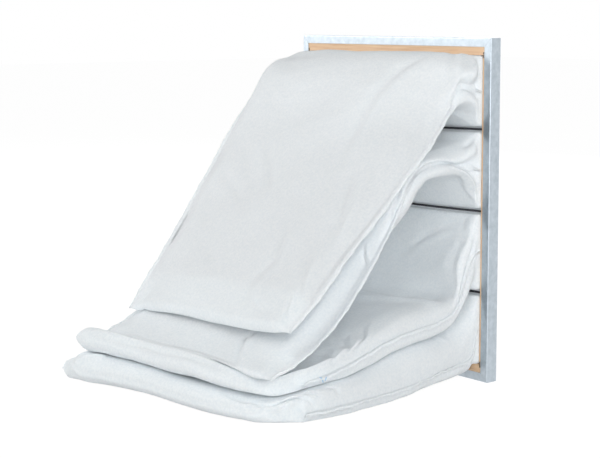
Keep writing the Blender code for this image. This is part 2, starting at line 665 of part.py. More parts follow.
def add_pocket(index, pile):
    """One pocket: an outer skin, a hollow open at the mouth, and a lip turned out at the back."""
    pocket = Pocket(index)
    upper, lower = pocket.sheet("upper"), pocket.sheet("lower")
    settle(upper, lower, pile)
    upper, lower = round_end(upper, lower)
    lip_top = 0.0 if pocket.top_on_rod else LIP_WIDTH
    lip_bottom = 0.0 if pocket.bottom_on_rod else LIP_WIDTH
    lip_front = batten_back + GAP
    lip_back = lip_front + LIP_THICKNESS

    def mouth_ring(y, grow_sides, grow_top, grow_bottom):
        ring = []
        for which, grow in (("upper", grow_top), ("lower", -grow_bottom)):
            x, z = pocket.mouth(which)
            level = pocket.top if which == "upper" else pocket.bottom
            z = z + grow * (z - pocket.middle) / (level - pocket.middle)
            x = x * (1 + grow_sides / mouth_half)
            ring.append(np.stack([x, np.full(len(x), y), z], 1))
        return ring

    rings = [
        mouth_ring(lip_back, LIP_WIDTH, lip_top, lip_bottom),
        mouth_ring(lip_front, LIP_WIDTH, lip_top, lip_bottom),
        mouth_ring(lip_front, 0.0, 0.0, 0.0),
    ]
    rings += list(zip(upper, lower))
    count = upper.shape[1]
    points, faces = [], []
    for top, low in rings:
        points += [tuple(p) for p in top] + [tuple(p) for p in low[::-1]]
    size = 2 * count
    for ring in range(len(rings) - 1):
        start = ring * size
        for i in range(size):
            beside = (i + 1) % size
            faces.append((start + i, start + beside, start + size + beside, start + size + i))
    last = (len(rings) - 1) * size
    faces += [(last + i, last + i + 1, last + size - 2 - i, last + size - 1 - i) for i in range(count - 1)]

    hollow_top, hollow_low = hollow_rows(upper, lower)
    mouth_top, mouth_low = hollow_rows(*(ring[None] for ring in mouth_ring(lip_back, 0.0, 0.0, 0.0)))
    hollows = [(mouth_top[0], mouth_low[0])]
    hollows += [(t, b) for out, t, b in zip(along, hollow_top, hollow_low) if out < CAVITY_DEPTH]
    first_hollow = len(points)
    for top, low in hollows:
        points += [tuple(p) for p in top] + [tuple(p) for p in low[::-1]]
    width = hollow_top.shape[1]
    size_in = 2 * width
    for ring in range(len(hollows) - 1):
        start = first_hollow + ring * size_in
        for i in range(size_in):
            beside = (i + 1) % size_in
            faces.append((start + i, start + beside, start + size_in + beside, start + size_in + i))
    deep = first_hollow + (len(hollows) - 1) * size_in
    deep_end = deep + size_in - 1
    faces += [(deep + i, deep + i + 1, deep_end - 1 - i, deep_end - i) for i in range(width - 1)]

    shift = first_inner - 1
    for i in range(width - 1):
        faces.append((shift + i, shift + i + 1, first_hollow + i + 1, first_hollow + i))
        low_outer, low_inner = size - 1 - shift - i, first_hollow + size_in - 1 - i
        faces.append((low_outer, low_outer - 1, low_inner - 1, low_inner))
    right = list(range(shift + width - 1, size - shift - width + 1))
    faces.append((*right, first_hollow + width, first_hollow + width - 1))
    left = list(range(size - 1 - shift, size)) + list(range(0, shift + 1))
    faces.append((*left, first_hollow, first_hollow + size_in - 1))
    return add_object(pocket.name, points, faces, FLEECE, smooth=True)


pile_points, pile_faces = [], []
for index in reversed(range(POCKET_COUNT)):
    pile = BVHTree.FromPolygons(pile_points, pile_faces) if pile_faces else None
    pocket = add_pocket(index, pile)
    offset = len(pile_points)
    pile_points += [v.co.copy() for v in pocket.data.vertices]
    pile_faces += [[offset + i for i in face.vertices] for face in pocket.data.polygons]
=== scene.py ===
# %% [markdown]
# # A bag air filter
# A panel-frame bag filter stands on its bottom rail: a header of galvanised channel round pine
# battens, three steel rods across the opening, and four empty pockets of white needled cloth
# that slump on each other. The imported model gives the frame, and this file dresses it.

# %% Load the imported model
import math

import bmesh
import bpy
import numpy as np
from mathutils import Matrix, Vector
from mathutils.bvhtree import BVHTree


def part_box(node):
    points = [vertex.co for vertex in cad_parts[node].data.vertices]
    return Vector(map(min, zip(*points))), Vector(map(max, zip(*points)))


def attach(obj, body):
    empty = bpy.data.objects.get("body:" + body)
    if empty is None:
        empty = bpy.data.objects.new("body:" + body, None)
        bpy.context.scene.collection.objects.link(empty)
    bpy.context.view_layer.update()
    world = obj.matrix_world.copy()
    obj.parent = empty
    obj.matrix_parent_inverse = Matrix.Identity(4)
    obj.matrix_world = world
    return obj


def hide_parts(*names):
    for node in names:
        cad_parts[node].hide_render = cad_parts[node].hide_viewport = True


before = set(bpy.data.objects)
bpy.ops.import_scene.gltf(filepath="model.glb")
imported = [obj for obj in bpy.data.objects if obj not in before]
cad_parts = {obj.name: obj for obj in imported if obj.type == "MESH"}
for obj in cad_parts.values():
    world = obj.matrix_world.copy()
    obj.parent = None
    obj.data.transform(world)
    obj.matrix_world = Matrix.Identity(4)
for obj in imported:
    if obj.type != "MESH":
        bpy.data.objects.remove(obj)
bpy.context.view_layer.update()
print("nodes", sorted(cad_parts))

# %% [markdown]
# ## Where things are
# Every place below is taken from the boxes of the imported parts, so that the cloth starts at the
# battens and the rods, whatever their size.

# %% Places of the header
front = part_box("top_rail")[0].y
batten_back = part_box("top_batten")[1].y
opening_half = -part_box("left_batten")[1].x
opening_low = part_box("bottom_batten")[1].z
opening_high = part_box("top_batten")[0].z
rod_boxes = [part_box(f"divider_rod_{i + 1}") for i in range(3)]
rod_radius = (rod_boxes[0][1].y - rod_boxes[0][0].y) / 2
rod_sag = rod_boxes[0][1].z - rod_boxes[0][0].z - 2 * rod_radius
rod_heights = [high.z - rod_radius for low, high in rod_boxes]
print("opening from", round(opening_low, 4), "to", round(opening_high, 4))
print("rods at", [round(z, 4) for z in rod_heights])

# %% [markdown]
# ## Camera
# The photo is taken from the right of the pockets, a little above, with a long lens. Its place
# was found from the corners of the header. A quaternion made from the direction turns the camera,
# which is surer than three angles set by eye.

# %% Camera
AZIMUTH = math.radians(50.043)
ELEVATION = math.radians(5.797)
CAMERA_PLACE = (1.9128, -1.8289, 0.6292)
FOCAL_LENGTH = 87
SENSOR_WIDTH = 36
FRAME_SHIFT = -0.11
back_way = Vector((
    math.sin(AZIMUTH) * math.cos(ELEVATION),
    -math.cos(AZIMUTH) * math.cos(ELEVATION),
    math.sin(ELEVATION),
))
lens = bpy.data.cameras.new("camera")
lens.lens = FOCAL_LENGTH
lens.sensor_width = SENSOR_WIDTH
lens.shift_y = FRAME_SHIFT
camera = bpy.data.objects.new("camera", lens)
camera.location = CAMERA_PLACE
camera.rotation_mode = "QUATERNION"
camera.rotation_quaternion = (-back_way).to_track_quat("-Z", "Y")
bpy.context.collection.objects.link(camera)
bpy.context.scene.camera = camera
print("camera at", tuple(round(v, 3) for v in camera.location))

# %% [markdown]
# ## Curves for cloth
# A limp sheet is easiest to draw by the lines that it hangs along. Each line here is a few points,
# as distance out from the frame and height, and a smooth curve is laid through them. Blender's own
# curve objects could hold the lines too, but plain functions can be asked for any point at once.

# %% Smooth curves
FINE_POINTS = 600


def smooth_through(points, at):
    """Values at some places on a smooth curve through (place, value) points."""
    place, value = np.array(points, float).T
    slope = np.gradient(value, place)
    at = np.clip(np.asarray(at, float), place[0], place[-1])
    i = np.clip(np.searchsorted(place, at) - 1, 0, len(place) - 2)
    span = place[i + 1] - place[i]
    t = (at - place[i]) / span
    start = (1 + 2 * t) * (1 - t) ** 2 * value[i] + t * (1 - t) ** 2 * span * slope[i]
    end = t * t * (3 - 2 * t) * value[i + 1] + t * t * (t - 1) * span * slope[i + 1]
    return start + end


def run_along(points):
    """How far each point is along the line that the points make."""
    steps = np.linalg.norm(np.diff(points, axis=0), axis=1)
    return np.concatenate([[0], np.cumsum(steps)])


def hanging_line(points, shares):
    """Points at shares of the length of a smooth line through (distance, height) points."""
    knots = np.array(points, float)
    chord = run_along(knots)
    fine = np.linspace(0, chord[-1], FINE_POINTS)
    line = np.stack([smooth_through(np.stack([chord, k], 1), fine) for k in knots.T], 1)
    length = run_along(line)
    at = np.asarray(shares) * length[-1]
    return np.stack([np.interp(at, length, k) for k in line.T], 1)


def ease(share):
    """A smooth step from 0 to 1."""
    share = np.clip(share, 0, 1)
    return share * share * (3 - 2 * share)


print("halfway of a bent line", hanging_line(((0, 0), (1, 1), (2, 0)), [0.5])[0].round(3))

# %% [markdown]
# ## How each pocket hangs
# Each pocket is two sheets sewn together down both sides and across the end. For each sheet, three
# lines are given: down its left edge, its middle and its right edge. Two more follow the side
# seams. A line's points are (distance out from the frame, height) in metres, as they were read
# from the photo. A seam's place is its half width by share of its length, its turn is the angle in
# degrees at which the side comes to the stitches, and its puff is how full the side is there. The
# shape is made from these lines and isn't simulated, because slack cloth dropped by Blender's cloth
# solver would find its own folds and not the ones in the photo.

# %% Lines of the four pockets
POCKETS = {
    "pocket_4": dict(
        mouth=(opening_low, rod_heights[2]),
        upper_left=(
            (0, 0.150), (0.02, 0.120), (0.05, 0.100), (0.10, 0.090), (0.16, 0.086), (0.22, 0.074),
            (0.30, 0.058), (0.38, 0.051), (0.46, 0.049), (0.510, 0.049), (0.530, 0.043),
            (0.542, 0.031), (0.544, 0.018), (0.536, 0.006),
        ),
        upper_middle=(
            (0, 0.146), (0.02, 0.118), (0.05, 0.099), (0.10, 0.088), (0.16, 0.083), (0.22, 0.071),
            (0.30, 0.053), (0.38, 0.044), (0.44, 0.042), (0.478, 0.043), (0.494, 0.039),
            (0.504, 0.029), (0.505, 0.017), (0.497, 0.006),
        ),
        upper_right=(
            (0, 0.150), (0.012, 0.132), (0.030, 0.112), (0.050, 0.099), (0.088, 0.090),
            (0.150, 0.087), (0.188, 0.082), (0.228, 0.073), (0.290, 0.057), (0.360, 0.048),
            (0.410, 0.042), (0.450, 0.037), (0.468, 0.030), (0.476, 0.021), (0.476, 0.012),
            (0.469, 0.005),
        ),
        lower_left=((0, 0.032), (0.012, 0.014), (0.035, 0.003), (0.08, 0.0015), (0.522, 0.0015)),
        lower_middle=((0, 0.030), (0.012, 0.014), (0.035, 0.003), (0.08, 0.0015), (0.484, 0.0015)),
        lower_right=(
            (0, 0.032), (0.008, 0.024), (0.022, 0.015), (0.05, 0.010), (0.15, 0.008), (0.35, 0.006),
            (0.456, 0.003),
        ),
        seam_left=(
            (0, 0.060), (0.04, 0.042), (0.10, 0.030), (0.20, 0.022), (0.36, 0.018), (0.540, 0.018),
        ),
        seam_right=(
            (0, 0.052), (0.0095, 0.046), (0.0375, 0.037), (0.0765, 0.033), (0.1175, 0.027),
            (0.1575, 0.022), (0.300, 0.016), (0.402, 0.013),
        ),
        seam_place_left=((0, 0.2256), (0.15, 0.232), (0.6, 0.246), (1, 0.256)),
        seam_place_right=((0, 0.2256), (0.15, 0.228), (0.45, 0.236), (0.8, 0.242), (1, 0.238)),
        corner_place=0.186,
        seam_turn_left=((0, 90), (0.2, 70), (0.6, 90), (1, 105)),
        seam_turn_right=((0, 90), (0.1, 75), (0.5, 84), (0.8, 96), (1, 120)),
        end_roll=0.006,
    ),
    "pocket_3": dict(
        mouth=(rod_heights[2], rod_heights[1]),
        upper_left=(
            (0, 0.291), (0.020, 0.255), (0.040, 0.212), (0.054, 0.172), (0.066, 0.154), (0.10, 0.150),
            (0.16, 0.146), (0.20, 0.138), (0.25, 0.122), (0.30, 0.106), (0.36, 0.088), (0.42, 0.074),
            (0.455, 0.070), (0.480, 0.081), (0.505, 0.090), (0.524, 0.085),
        ),
        upper_middle=(
            (0, 0.286), (0.018, 0.250), (0.036, 0.205), (0.050, 0.166), (0.063, 0.150), (0.10, 0.148),
            (0.15, 0.144), (0.20, 0.134), (0.25, 0.118), (0.30, 0.101), (0.35, 0.085), (0.40, 0.072),
            (0.435, 0.068), (0.460, 0.079), (0.480, 0.086), (0.496, 0.078),
        ),
        upper_right=(
            (0, 0.291), (0.0075, 0.279), (0.0245, 0.252), (0.0405, 0.228), (0.0515, 0.201),
            (0.0550, 0.174), (0.0610, 0.156), (0.0760, 0.149), (0.10, 0.149), (0.15, 0.145),
            (0.20, 0.135), (0.25, 0.118), (0.30, 0.100), (0.34, 0.087), (0.38, 0.075),
            (0.42, 0.068), (0.45, 0.070), (0.468, 0.062),
        ),
        lower_left=(
            (0, 0.160), (0.02, 0.154), (0.05, 0.126), (0.08, 0.106), (0.12, 0.096), (0.18, 0.091),
            (0.25, 0.077), (0.32, 0.060), (0.40, 0.050), (0.46, 0.047), (0.505, 0.049), (0.522, 0.057),
        ),
        lower_middle=(
            (0, 0.155), (0.02, 0.150), (0.05, 0.125), (0.08, 0.103), (0.12, 0.095), (0.18, 0.090),
            (0.25, 0.075), (0.32, 0.058), (0.40, 0.047), (0.45, 0.045), (0.494, 0.050),
        ),
        lower_right=(
            (0, 0.160), (0.012, 0.160), (0.030, 0.143), (0.050, 0.119), (0.070, 0.105), (0.10, 0.095),
            (0.16, 0.092), (0.20, 0.088), (0.24, 0.079), (0.29, 0.063), (0.36, 0.053), (0.42, 0.046),
            (0.464, 0.046),
        ),
        seam_left=(
            (0, 0.226), (0.02, 0.206), (0.04, 0.180), (0.055, 0.156), (0.07, 0.136), (0.10, 0.124),
            (0.15, 0.118), (0.20, 0.110), (0.25, 0.097), (0.30, 0.082), (0.36, 0.070), (0.42, 0.060),
            (0.46, 0.062), (0.524, 0.074),
        ),
        seam_right=(
            (0, 0.226), (0.018, 0.214), (0.036, 0.190), (0.050, 0.160), (0.064, 0.134), (0.10, 0.118),
            (0.15, 0.112), (0.20, 0.105), (0.25, 0.093), (0.30, 0.078), (0.36, 0.062), (0.39, 0.056),
        ),
        seam_place_left=((0, 0.2256), (0.15, 0.230), (0.5, 0.232), (1, 0.236)),
        seam_place_right=((0, 0.2256), (0.1, 0.229), (0.5, 0.230), (0.85, 0.228), (1, 0.219)),
        corner_place=0.186,
        seam_turn_left=((0, 90), (0.1, 70), (0.4, 80), (0.8, 100), (1, 80)),
        seam_turn_right=((0, 90), (0.1, 62), (0.3, 80), (0.6, 92), (1, 120)),
        end_roll=0.020,
    ),
    "pocket_2": dict(
        mouth=(rod_heights[1], rod_heights[0]),
        upper_left=(
            (0, 0.432), (0.02, 0.418), (0.05, 0.410), (0.10, 0.400), (0.14, 0.383), (0.18, 0.350),
            (0.22, 0.303), (0.30, 0.217), (0.38, 0.136), (0.43, 0.097), (0.466, 0.080),
        ),
        upper_middle=(
            (0, 0.428), (0.02, 0.412), (0.05, 0.404), (0.10, 0.395), (0.14, 0.378), (0.18, 0.346),
            (0.22, 0.300), (0.30, 0.218), (0.38, 0.140), (0.44, 0.094), (0.468, 0.078),
        ),
        upper_right=(
            (0, 0.432), (0.008, 0.424), (0.025, 0.415), (0.05, 0.408), (0.08, 0.403), (0.115, 0.398),
            (0.145, 0.386), (0.175, 0.360), (0.20, 0.333), (0.25, 0.275), (0.30, 0.222), (0.35, 0.170),
            (0.40, 0.126), (0.44, 0.098), (0.470, 0.084),
        ),
        lower_left=(
            (0, 0.301), (0.02, 0.335), (0.05, 0.352), (0.10, 0.352), (0.13, 0.335), (0.16, 0.300),
            (0.20, 0.262), (0.26, 0.196), (0.34, 0.127), (0.40, 0.090), (0.464, 0.068),
        ),
        lower_middle=(
            (0, 0.305), (0.015, 0.326), (0.04, 0.341), (0.08, 0.341), (0.12, 0.330), (0.16, 0.296),
            (0.20, 0.256), (0.26, 0.192), (0.34, 0.124), (0.40, 0.090), (0.464, 0.068),
        ),
        lower_right=(
            (0, 0.301), (0.008, 0.318), (0.020, 0.338), (0.030, 0.350), (0.045, 0.355), (0.075, 0.355),
            (0.103, 0.358), (0.118, 0.358), (0.131, 0.346), (0.142, 0.328), (0.155, 0.308),
            (0.195, 0.268), (0.252, 0.206), (0.267, 0.191), (0.34, 0.131), (0.40, 0.095), (0.466, 0.073),
        ),
        seam_left=(
            (0, 0.369), (0.03, 0.377), (0.08, 0.385), (0.12, 0.378), (0.155, 0.352), (0.20, 0.305),
            (0.25, 0.248), (0.33, 0.158), (0.40, 0.100), (0.466, 0.075),
        ),
        seam_right=(
            (0, 0.369), (0.0115, 0.373), (0.0275, 0.375), (0.0585, 0.379), (0.0765, 0.384),
            (0.1185, 0.382), (0.1395, 0.374), (0.1555, 0.364), (0.1725, 0.346), (0.1855, 0.329),
            (0.2275, 0.278), (0.2725, 0.225), (0.3395, 0.150), (0.4025, 0.104), (0.4665, 0.079),
        ),
        seam_place_left=((0, 0.2256), (0.15, 0.230), (1, 0.230)),
        seam_place_right=(
            (0, 0.2256), (0.03, 0.214), (0.20, 0.212), (0.30, 0.220), (0.4, 0.228), (1, 0.231),
        ),
        side_puff_left=((0, 0.5), (0.04, 0.9), (0.2, 0.8), (0.35, 0.5), (1, 0.5)),
        side_puff_right=((0, 0.5), (0.04, 1.1), (0.2, 1.0), (0.32, 0.6), (0.45, 0.5), (1, 0.5)),
        corner_place=0.190,
        seam_turn_left=((0, 90), (0.1, 60), (0.3, 70), (0.5, 130), (1, 172)),
        seam_turn_right=((0, 90), (0.05, 30), (0.24, 32), (0.36, 75), (0.5, 135), (0.7, 168), (1, 174)),
        end_roll=0.006,
    ),
    "pocket_1": dict(
        mouth=(rod_heights[0], opening_high),
        upper_left=(
            (0, 0.5626), (0.030, 0.562), (0.053, 0.553), (0.090, 0.545), (0.120, 0.526),
            (0.143, 0.496), (0.162, 0.465), (0.233, 0.367), (0.324, 0.242), (0.390, 0.150),
            (0.412, 0.124),
        ),
        upper_middle=(
            (0, 0.5626), (0.030, 0.567), (0.070, 0.555), (0.100, 0.529), (0.150, 0.464),
            (0.200, 0.402), (0.300, 0.284), (0.400, 0.167), (0.421, 0.142),
        ),
        upper_right=(
            (0, 0.5626), (0.020, 0.566), (0.045, 0.556), (0.075, 0.514), (0.130, 0.448),
            (0.180, 0.402), (0.229, 0.353), (0.308, 0.278), (0.370, 0.215), (0.427, 0.155),
        ),
        lower_left=(
            (0, 0.442), (0.020, 0.462), (0.050, 0.476), (0.080, 0.474), (0.110, 0.460),
            (0.143, 0.430), (0.170, 0.398), (0.233, 0.322), (0.324, 0.212), (0.390, 0.130),
            (0.410, 0.108),
        ),
        lower_middle=(
            (0, 0.438), (0.020, 0.452), (0.050, 0.456), (0.080, 0.446), (0.120, 0.420),
            (0.160, 0.385), (0.200, 0.346), (0.300, 0.248), (0.400, 0.144), (0.419, 0.124),
        ),
        lower_right=(
            (0, 0.442), (0.010, 0.455), (0.022, 0.466), (0.045, 0.472), (0.070, 0.462),
            (0.100, 0.430), (0.133, 0.398), (0.180, 0.358), (0.229, 0.308), (0.308, 0.235),
            (0.370, 0.180), (0.427, 0.137),
        ),
        seam_left=(
            (0, 0.505), (0.030, 0.512), (0.060, 0.518), (0.100, 0.503), (0.143, 0.462),
            (0.162, 0.440), (0.233, 0.345), (0.324, 0.226), (0.390, 0.142), (0.417, 0.112),
        ),
        seam_right=(
            (0, 0.507), (0.030, 0.508), (0.047, 0.512), (0.077, 0.472), (0.133, 0.418),
            (0.180, 0.380), (0.229, 0.332), (0.308, 0.258), (0.370, 0.198), (0.427, 0.146),
        ),
        seam_place_left=((0, 0.2256), (0.15, 0.232), (1, 0.230)),
        seam_place_right=(
            (0, 0.2256), (0.03, 0.214), (0.08, 0.213), (0.16, 0.222), (0.3, 0.231), (1, 0.230),
        ),
        side_puff_left=((0, 0.5), (0.04, 0.9), (0.14, 0.8), (0.3, 0.5), (1, 0.5)),
        side_puff_right=((0, 0.5), (0.04, 1.1), (0.12, 1.0), (0.25, 0.5), (1, 0.5)),
        corner_place=0.188,
        seam_turn_left=((0, 90), (0.08, 60), (0.2, 90), (0.4, 150), (1, 172)),
        seam_turn_right=(
            (0, 90), (0.04, 30), (0.10, 35), (0.18, 90), (0.28, 150), (0.38, 168), (1, 174),
        ),
        end_roll=0.005,
    ),
}
print("pockets", list(POCKETS))

# %% [markdown]
# ## Cloth as a grid
# Both sheets share one grid. Its columns run across: the middle part between the two corner lines,
# then a rounded side from the corner to the stitches, then the flat hem outside the stitches. A
# plane could be pulled into shape by hand, but a grid worked out from the lines keeps its rows and
# columns even, and is made again in seconds when a line changes.

# %% Rows and columns of the grid
ROWS = 150
END_ROWS = 12
END_START = 0.965
INNER_COLUMNS = 90
SIDE_COLUMNS = 26
HEM_STEPS = (0.22, 0.5, 0.8, 0.96, 1.0)

along = np.concatenate([
    np.linspace(0, 1, ROWS) * END_START,
    END_START + (1 - END_START) * np.sin(np.linspace(0, 1, END_ROWS + 1)[1:] * math.pi / 2),
])
inner_across = np.linspace(-1, 1, INNER_COLUMNS + 1)
side_share = np.linspace(0, 1, SIDE_COLUMNS + 1)[1:]
column_count = len(inner_across) + 2 * (len(side_share) + len(HEM_STEPS))
stitch_columns = (len(HEM_STEPS), column_count - 1 - len(HEM_STEPS))
column_numbers = np.arange(column_count)
from_stitches = np.minimum(
    column_numbers - stitch_columns[0], stitch_columns[1] - column_numbers
)
print("grid of", len(along), "rows and", column_count, "columns, stitches at", stitch_columns)

# %% [markdown]
# ## Rounded sides
# On the real filter the top sheet turns down to the side seam, and the bottom sheet turns up to
# it. Where the seam is in a groove between two puffed lobes, the cloth comes to the stitches from
# outside, and where the pocket is flat it comes to them from inside. A cubic curve with a handle at
# each end, like Blender's own Bezier curves, can do both, so each row's side is one such curve.

# %% The rounded side of a sheet
CORNER_HANDLE = 0.42


def side_curve(corner, slope, stitch, angle, rise, puff):
    """A rounded side, as a cubic curve from a corner to the stitches, for every row."""
    reach = np.linalg.norm(stitch - corner, axis=1)[:, None]
    turn = np.radians(angle)
    out = np.stack([np.cos(turn), np.zeros_like(turn), rise * np.sin(turn)], 1)
    first = corner + slope / np.linalg.norm(slope, axis=1)[:, None] * reach * CORNER_HANDLE
    second = stitch + out * reach * puff[:, None]
    t = side_share[None, :, None]
    parts = (corner, first, second, stitch)
    weights = ((1 - t) ** 3, 3 * t * (1 - t) ** 2, 3 * t * t * (1 - t), t**3)
    return sum(w * p[:, None, :] for w, p in zip(weights, parts))


print("a side has", len(side_share), "points in each row")

# %% [markdown]
# ## Hems
# Outside the stitches both sheets go on for a few millimetres as a flat, slightly wavy hem. It
# could be a strip of its own, but as the grid's last columns it needs no joint with the cloth. It
# is narrower in a groove, where it turns under, and towards the end of the pocket.

# %% The hem outside the stitches
HEM_WIDTH = 0.008
HEM_FULLNESS = (0.8, 1.0, 0.85, 0.45, 0.0)
HEM_TAPER = 0.10
END_HEM = 0.12
GROOVE_HEM = 0.25
GROOVE_TURN = 60
FLAT_TURN = 120
SEAM_HALF = 0.0030
STITCH_HALF = 0.0009
SWAY = ((0.0011, 0.047), (0.0007, 0.019))


def hem(stitch, seam_run, seam_turn, side, rise):
    """Points across the hem, from beside the stitches out to its edge, for every row."""
    flat = ease((seam_turn - GROOVE_TURN) / (FLAT_TURN - GROOVE_TURN))
    before_end = ease((1 - along) / HEM_TAPER)
    width = HEM_WIDTH * (GROOVE_HEM + (1 - GROOVE_HEM) * flat)
    width = width * (END_HEM + (1 - END_HEM) * before_end)
    sway = sum(height * np.sin(seam_run * 2 * math.pi / length) for height, length in SWAY)
    steps = []
    for step, full in zip(HEM_STEPS, HEM_FULLNESS):
        height = rise * SEAM_HALF * full + sway * step - rise * STITCH_HALF
        steps.append(stitch + np.stack([side * width * step, np.zeros_like(width), height], 1))
    return np.stack(steps, 1)


print("hem", HEM_WIDTH, "wide, in", len(HEM_STEPS), "steps")

# %% [markdown]
# ## One sheet
# Across the middle part, the cloth hangs between its left, middle and right lines. It stays near
# the middle line for most of the way and turns to the side lines late, as slack cloth does between
# two seams that hold it.

# %% One sheet of a pocket
CORNER_BLEND = 2.2
PLAIN_PUFF = ((0, 0.5), (1, 0.5))


def inner_part(spec, which):
    """The middle part of a sheet, between its two corner lines."""
    left, middle, right = (
        hanging_line(spec[f"{which}_{part}"], along)[:, None, :]
        for part in ("left", "middle", "right")
    )
    across = inner_across[None, :, None]
    share = np.abs(across) ** CORNER_BLEND
    hung = middle + np.where(across < 0, left - middle, right - middle) * share
    x = np.broadcast_to(inner_across * spec["corner_place"], hung.shape[:2])
    return np.stack([x, front - hung[..., 0], hung[..., 1]], -1)


def sheet(spec, which):
    """Points of the upper or lower sheet, row by row from the frame outwards."""
    rise = 1 if which == "upper" else -1
    inner = inner_part(spec, which)
    sides = {}
    for side, name in ((-1, "left"), (1, "right")):
        seam = hanging_line(spec[f"seam_{name}"], along)
        seam_x = side * smooth_through(spec[f"seam_place_{name}"], along)
        stitch = np.stack([seam_x, front - seam[:, 0], seam[:, 1] + rise * STITCH_HALF], 1)
        edge = -1 if side > 0 else 0
        corner = inner[:, edge]
        slope = corner - inner[:, edge - side]
        seam_turn = smooth_through(spec[f"seam_turn_{name}"], along)
        angle = seam_turn if side > 0 else 180 - seam_turn
        puff = smooth_through(spec.get(f"side_puff_{name}", PLAIN_PUFF), along)
        curve = side_curve(corner, slope, stitch, angle, rise, puff)
        outside = hem(stitch, run_along(seam), seam_turn, side, rise)
        sides[side] = np.concatenate([curve, outside], 1)
    return np.concatenate([sides[-1][:, ::-1], inner, sides[1]], 1)


print("points in a sheet", sheet(POCKETS["pocket_1"], "upper").shape[:2])

# %% [markdown]
# ## The mouth
# On the real filter the cloth of each mouth is held by the battens and the rods, so the first row
# of a sheet follows them as a rectangle with round corners, and sags with the rod. The first
# stretch of cloth is then bent from there to its own hanging line.

# %% The square mouth
ROD_SPACING = 0.005
BATTEN_SPACING = 0.0006
MOUTH_CORNER = 0.006
MOUTH_BLEND = 0.022


def rod_drop(x):
    """How far a rod hangs below its ends."""
    return rod_sag * np.clip(1 - (x / opening_half) ** 2, 0, 1)


def mouth_shape(name, which):
    """The square mouth of a pocket, column by column, as x and height."""
    low, high = POCKETS[name]["mouth"]
    edge, towards = (high, -1) if which == "upper" else (low, 1)
    on_rod = edge in rod_heights
    level = edge + towards * (ROD_SPACING if on_rod else BATTEN_SPACING)
    half = opening_half - BATTEN_SPACING
    middle = (low + high) / 2
    drop = abs(level - middle)
    bend = np.clip(2 * side_share, 0, 1) * math.pi / 2
    run = np.clip(2 * side_share - 1, 0, 1)
    x_side = half - MOUTH_CORNER * (1 - np.sin(bend))
    z_side = level + towards * (MOUTH_CORNER * (1 - np.cos(bend)) + (drop - MOUTH_CORNER) * run)
    x_out = np.concatenate([x_side, [half] * len(HEM_STEPS)])
    z_out = np.concatenate([z_side, [middle] * len(HEM_STEPS)])
    x_in = inner_across * (half - MOUTH_CORNER)
    x = np.concatenate([-x_out[::-1], x_in, x_out])
    z = np.concatenate([z_out[::-1], np.full_like(x_in, level), z_out])
    if on_rod:
        z = z - rod_drop(x) * np.clip(np.abs(z - middle) / drop, 0, 1)
    return x, z


def join_to_mouth(name, which, grid):
    """Bends the first stretch of a sheet to the mouth's own shape."""
    x, z = mouth_shape(name, which)
    share = ease((front - grid[..., 1]) / MOUTH_BLEND)
    share[0] = 0
    joined = grid.copy()
    joined[..., 0] = x + (grid[..., 0] - x) * share
    joined[..., 2] = z + (grid[..., 2] - z) * share
    joined[0, :, 1] = front
    return joined


for name, spec in POCKETS.items():
    print(name, "mouth from", *(round(height, 3) for height in spec["mouth"]))

# %% [markdown]
# ## Small folds
# The big shape is in the hanging lines. On top of it come smaller things: soft waves that no cloth
# is without, and single creases drawn where the photo shows them. Both push the cloth along its
# own normal, as a displacement does. A Displace modifier needs a texture or a vertex group for
# that, while here each fold is a formula in metres along and across the cloth.

# %% Normals and distances on a sheet
TINY = 1e-9


def normals(grid):
    """Unit normals of a sheet, pointing up on the upper one when its rows run outwards."""
    along_way = np.gradient(grid, axis=0)
    across_way = np.gradient(grid, axis=1)
    n = np.cross(along_way, across_way)
    return n / np.maximum(np.linalg.norm(n, axis=2), TINY)[..., None]


def travelled(grid):
    """How far each point is along its own column, and across its own row, in metres."""
    steps = np.linalg.norm(np.diff(grid, axis=0), axis=2)
    down = np.concatenate([np.zeros((1, grid.shape[1])), np.cumsum(steps, axis=0)])
    steps = np.linalg.norm(np.diff(grid, axis=1), axis=2)
    over = np.concatenate([np.zeros((grid.shape[0], 1)), np.cumsum(steps, axis=1)], 1)
    return down, over - over[:, [grid.shape[1] // 2]]


down, over = travelled(sheet(POCKETS["pocket_1"], "upper"))
print("top sheet is", round(float(down[-1, column_count // 2]), 3), "long in the middle")

# %% Waves and creases
WAVE_COUNT = 14
WAVE_SPREAD = (0.6, 1.6)
FADE_IN = 0.18
FADE_OUT = 0.25
DEPTH_AT_ENDS = 0.15
RIDGE_HEIGHT = 0.5
RIDGE_PLACE = 1.9
RIDGE_WIDTH = 1.3
CREASE_REACH = 6


def waves(down, over, seed, length, height):
    """Seeded smooth waves of about one length, the sum of plane waves in all directions."""
    dice = np.random.default_rng(seed)
    total = np.zeros_like(down)
    for _ in range(WAVE_COUNT):
        turn = dice.uniform(0, 2 * math.pi)
        wave = 2 * math.pi / (length * dice.uniform(*WAVE_SPREAD))
        start = dice.uniform(0, 2 * math.pi)
        total += np.sin((down * math.cos(turn) + over * math.sin(turn)) * wave + start)
    return total * height / math.sqrt(WAVE_COUNT)


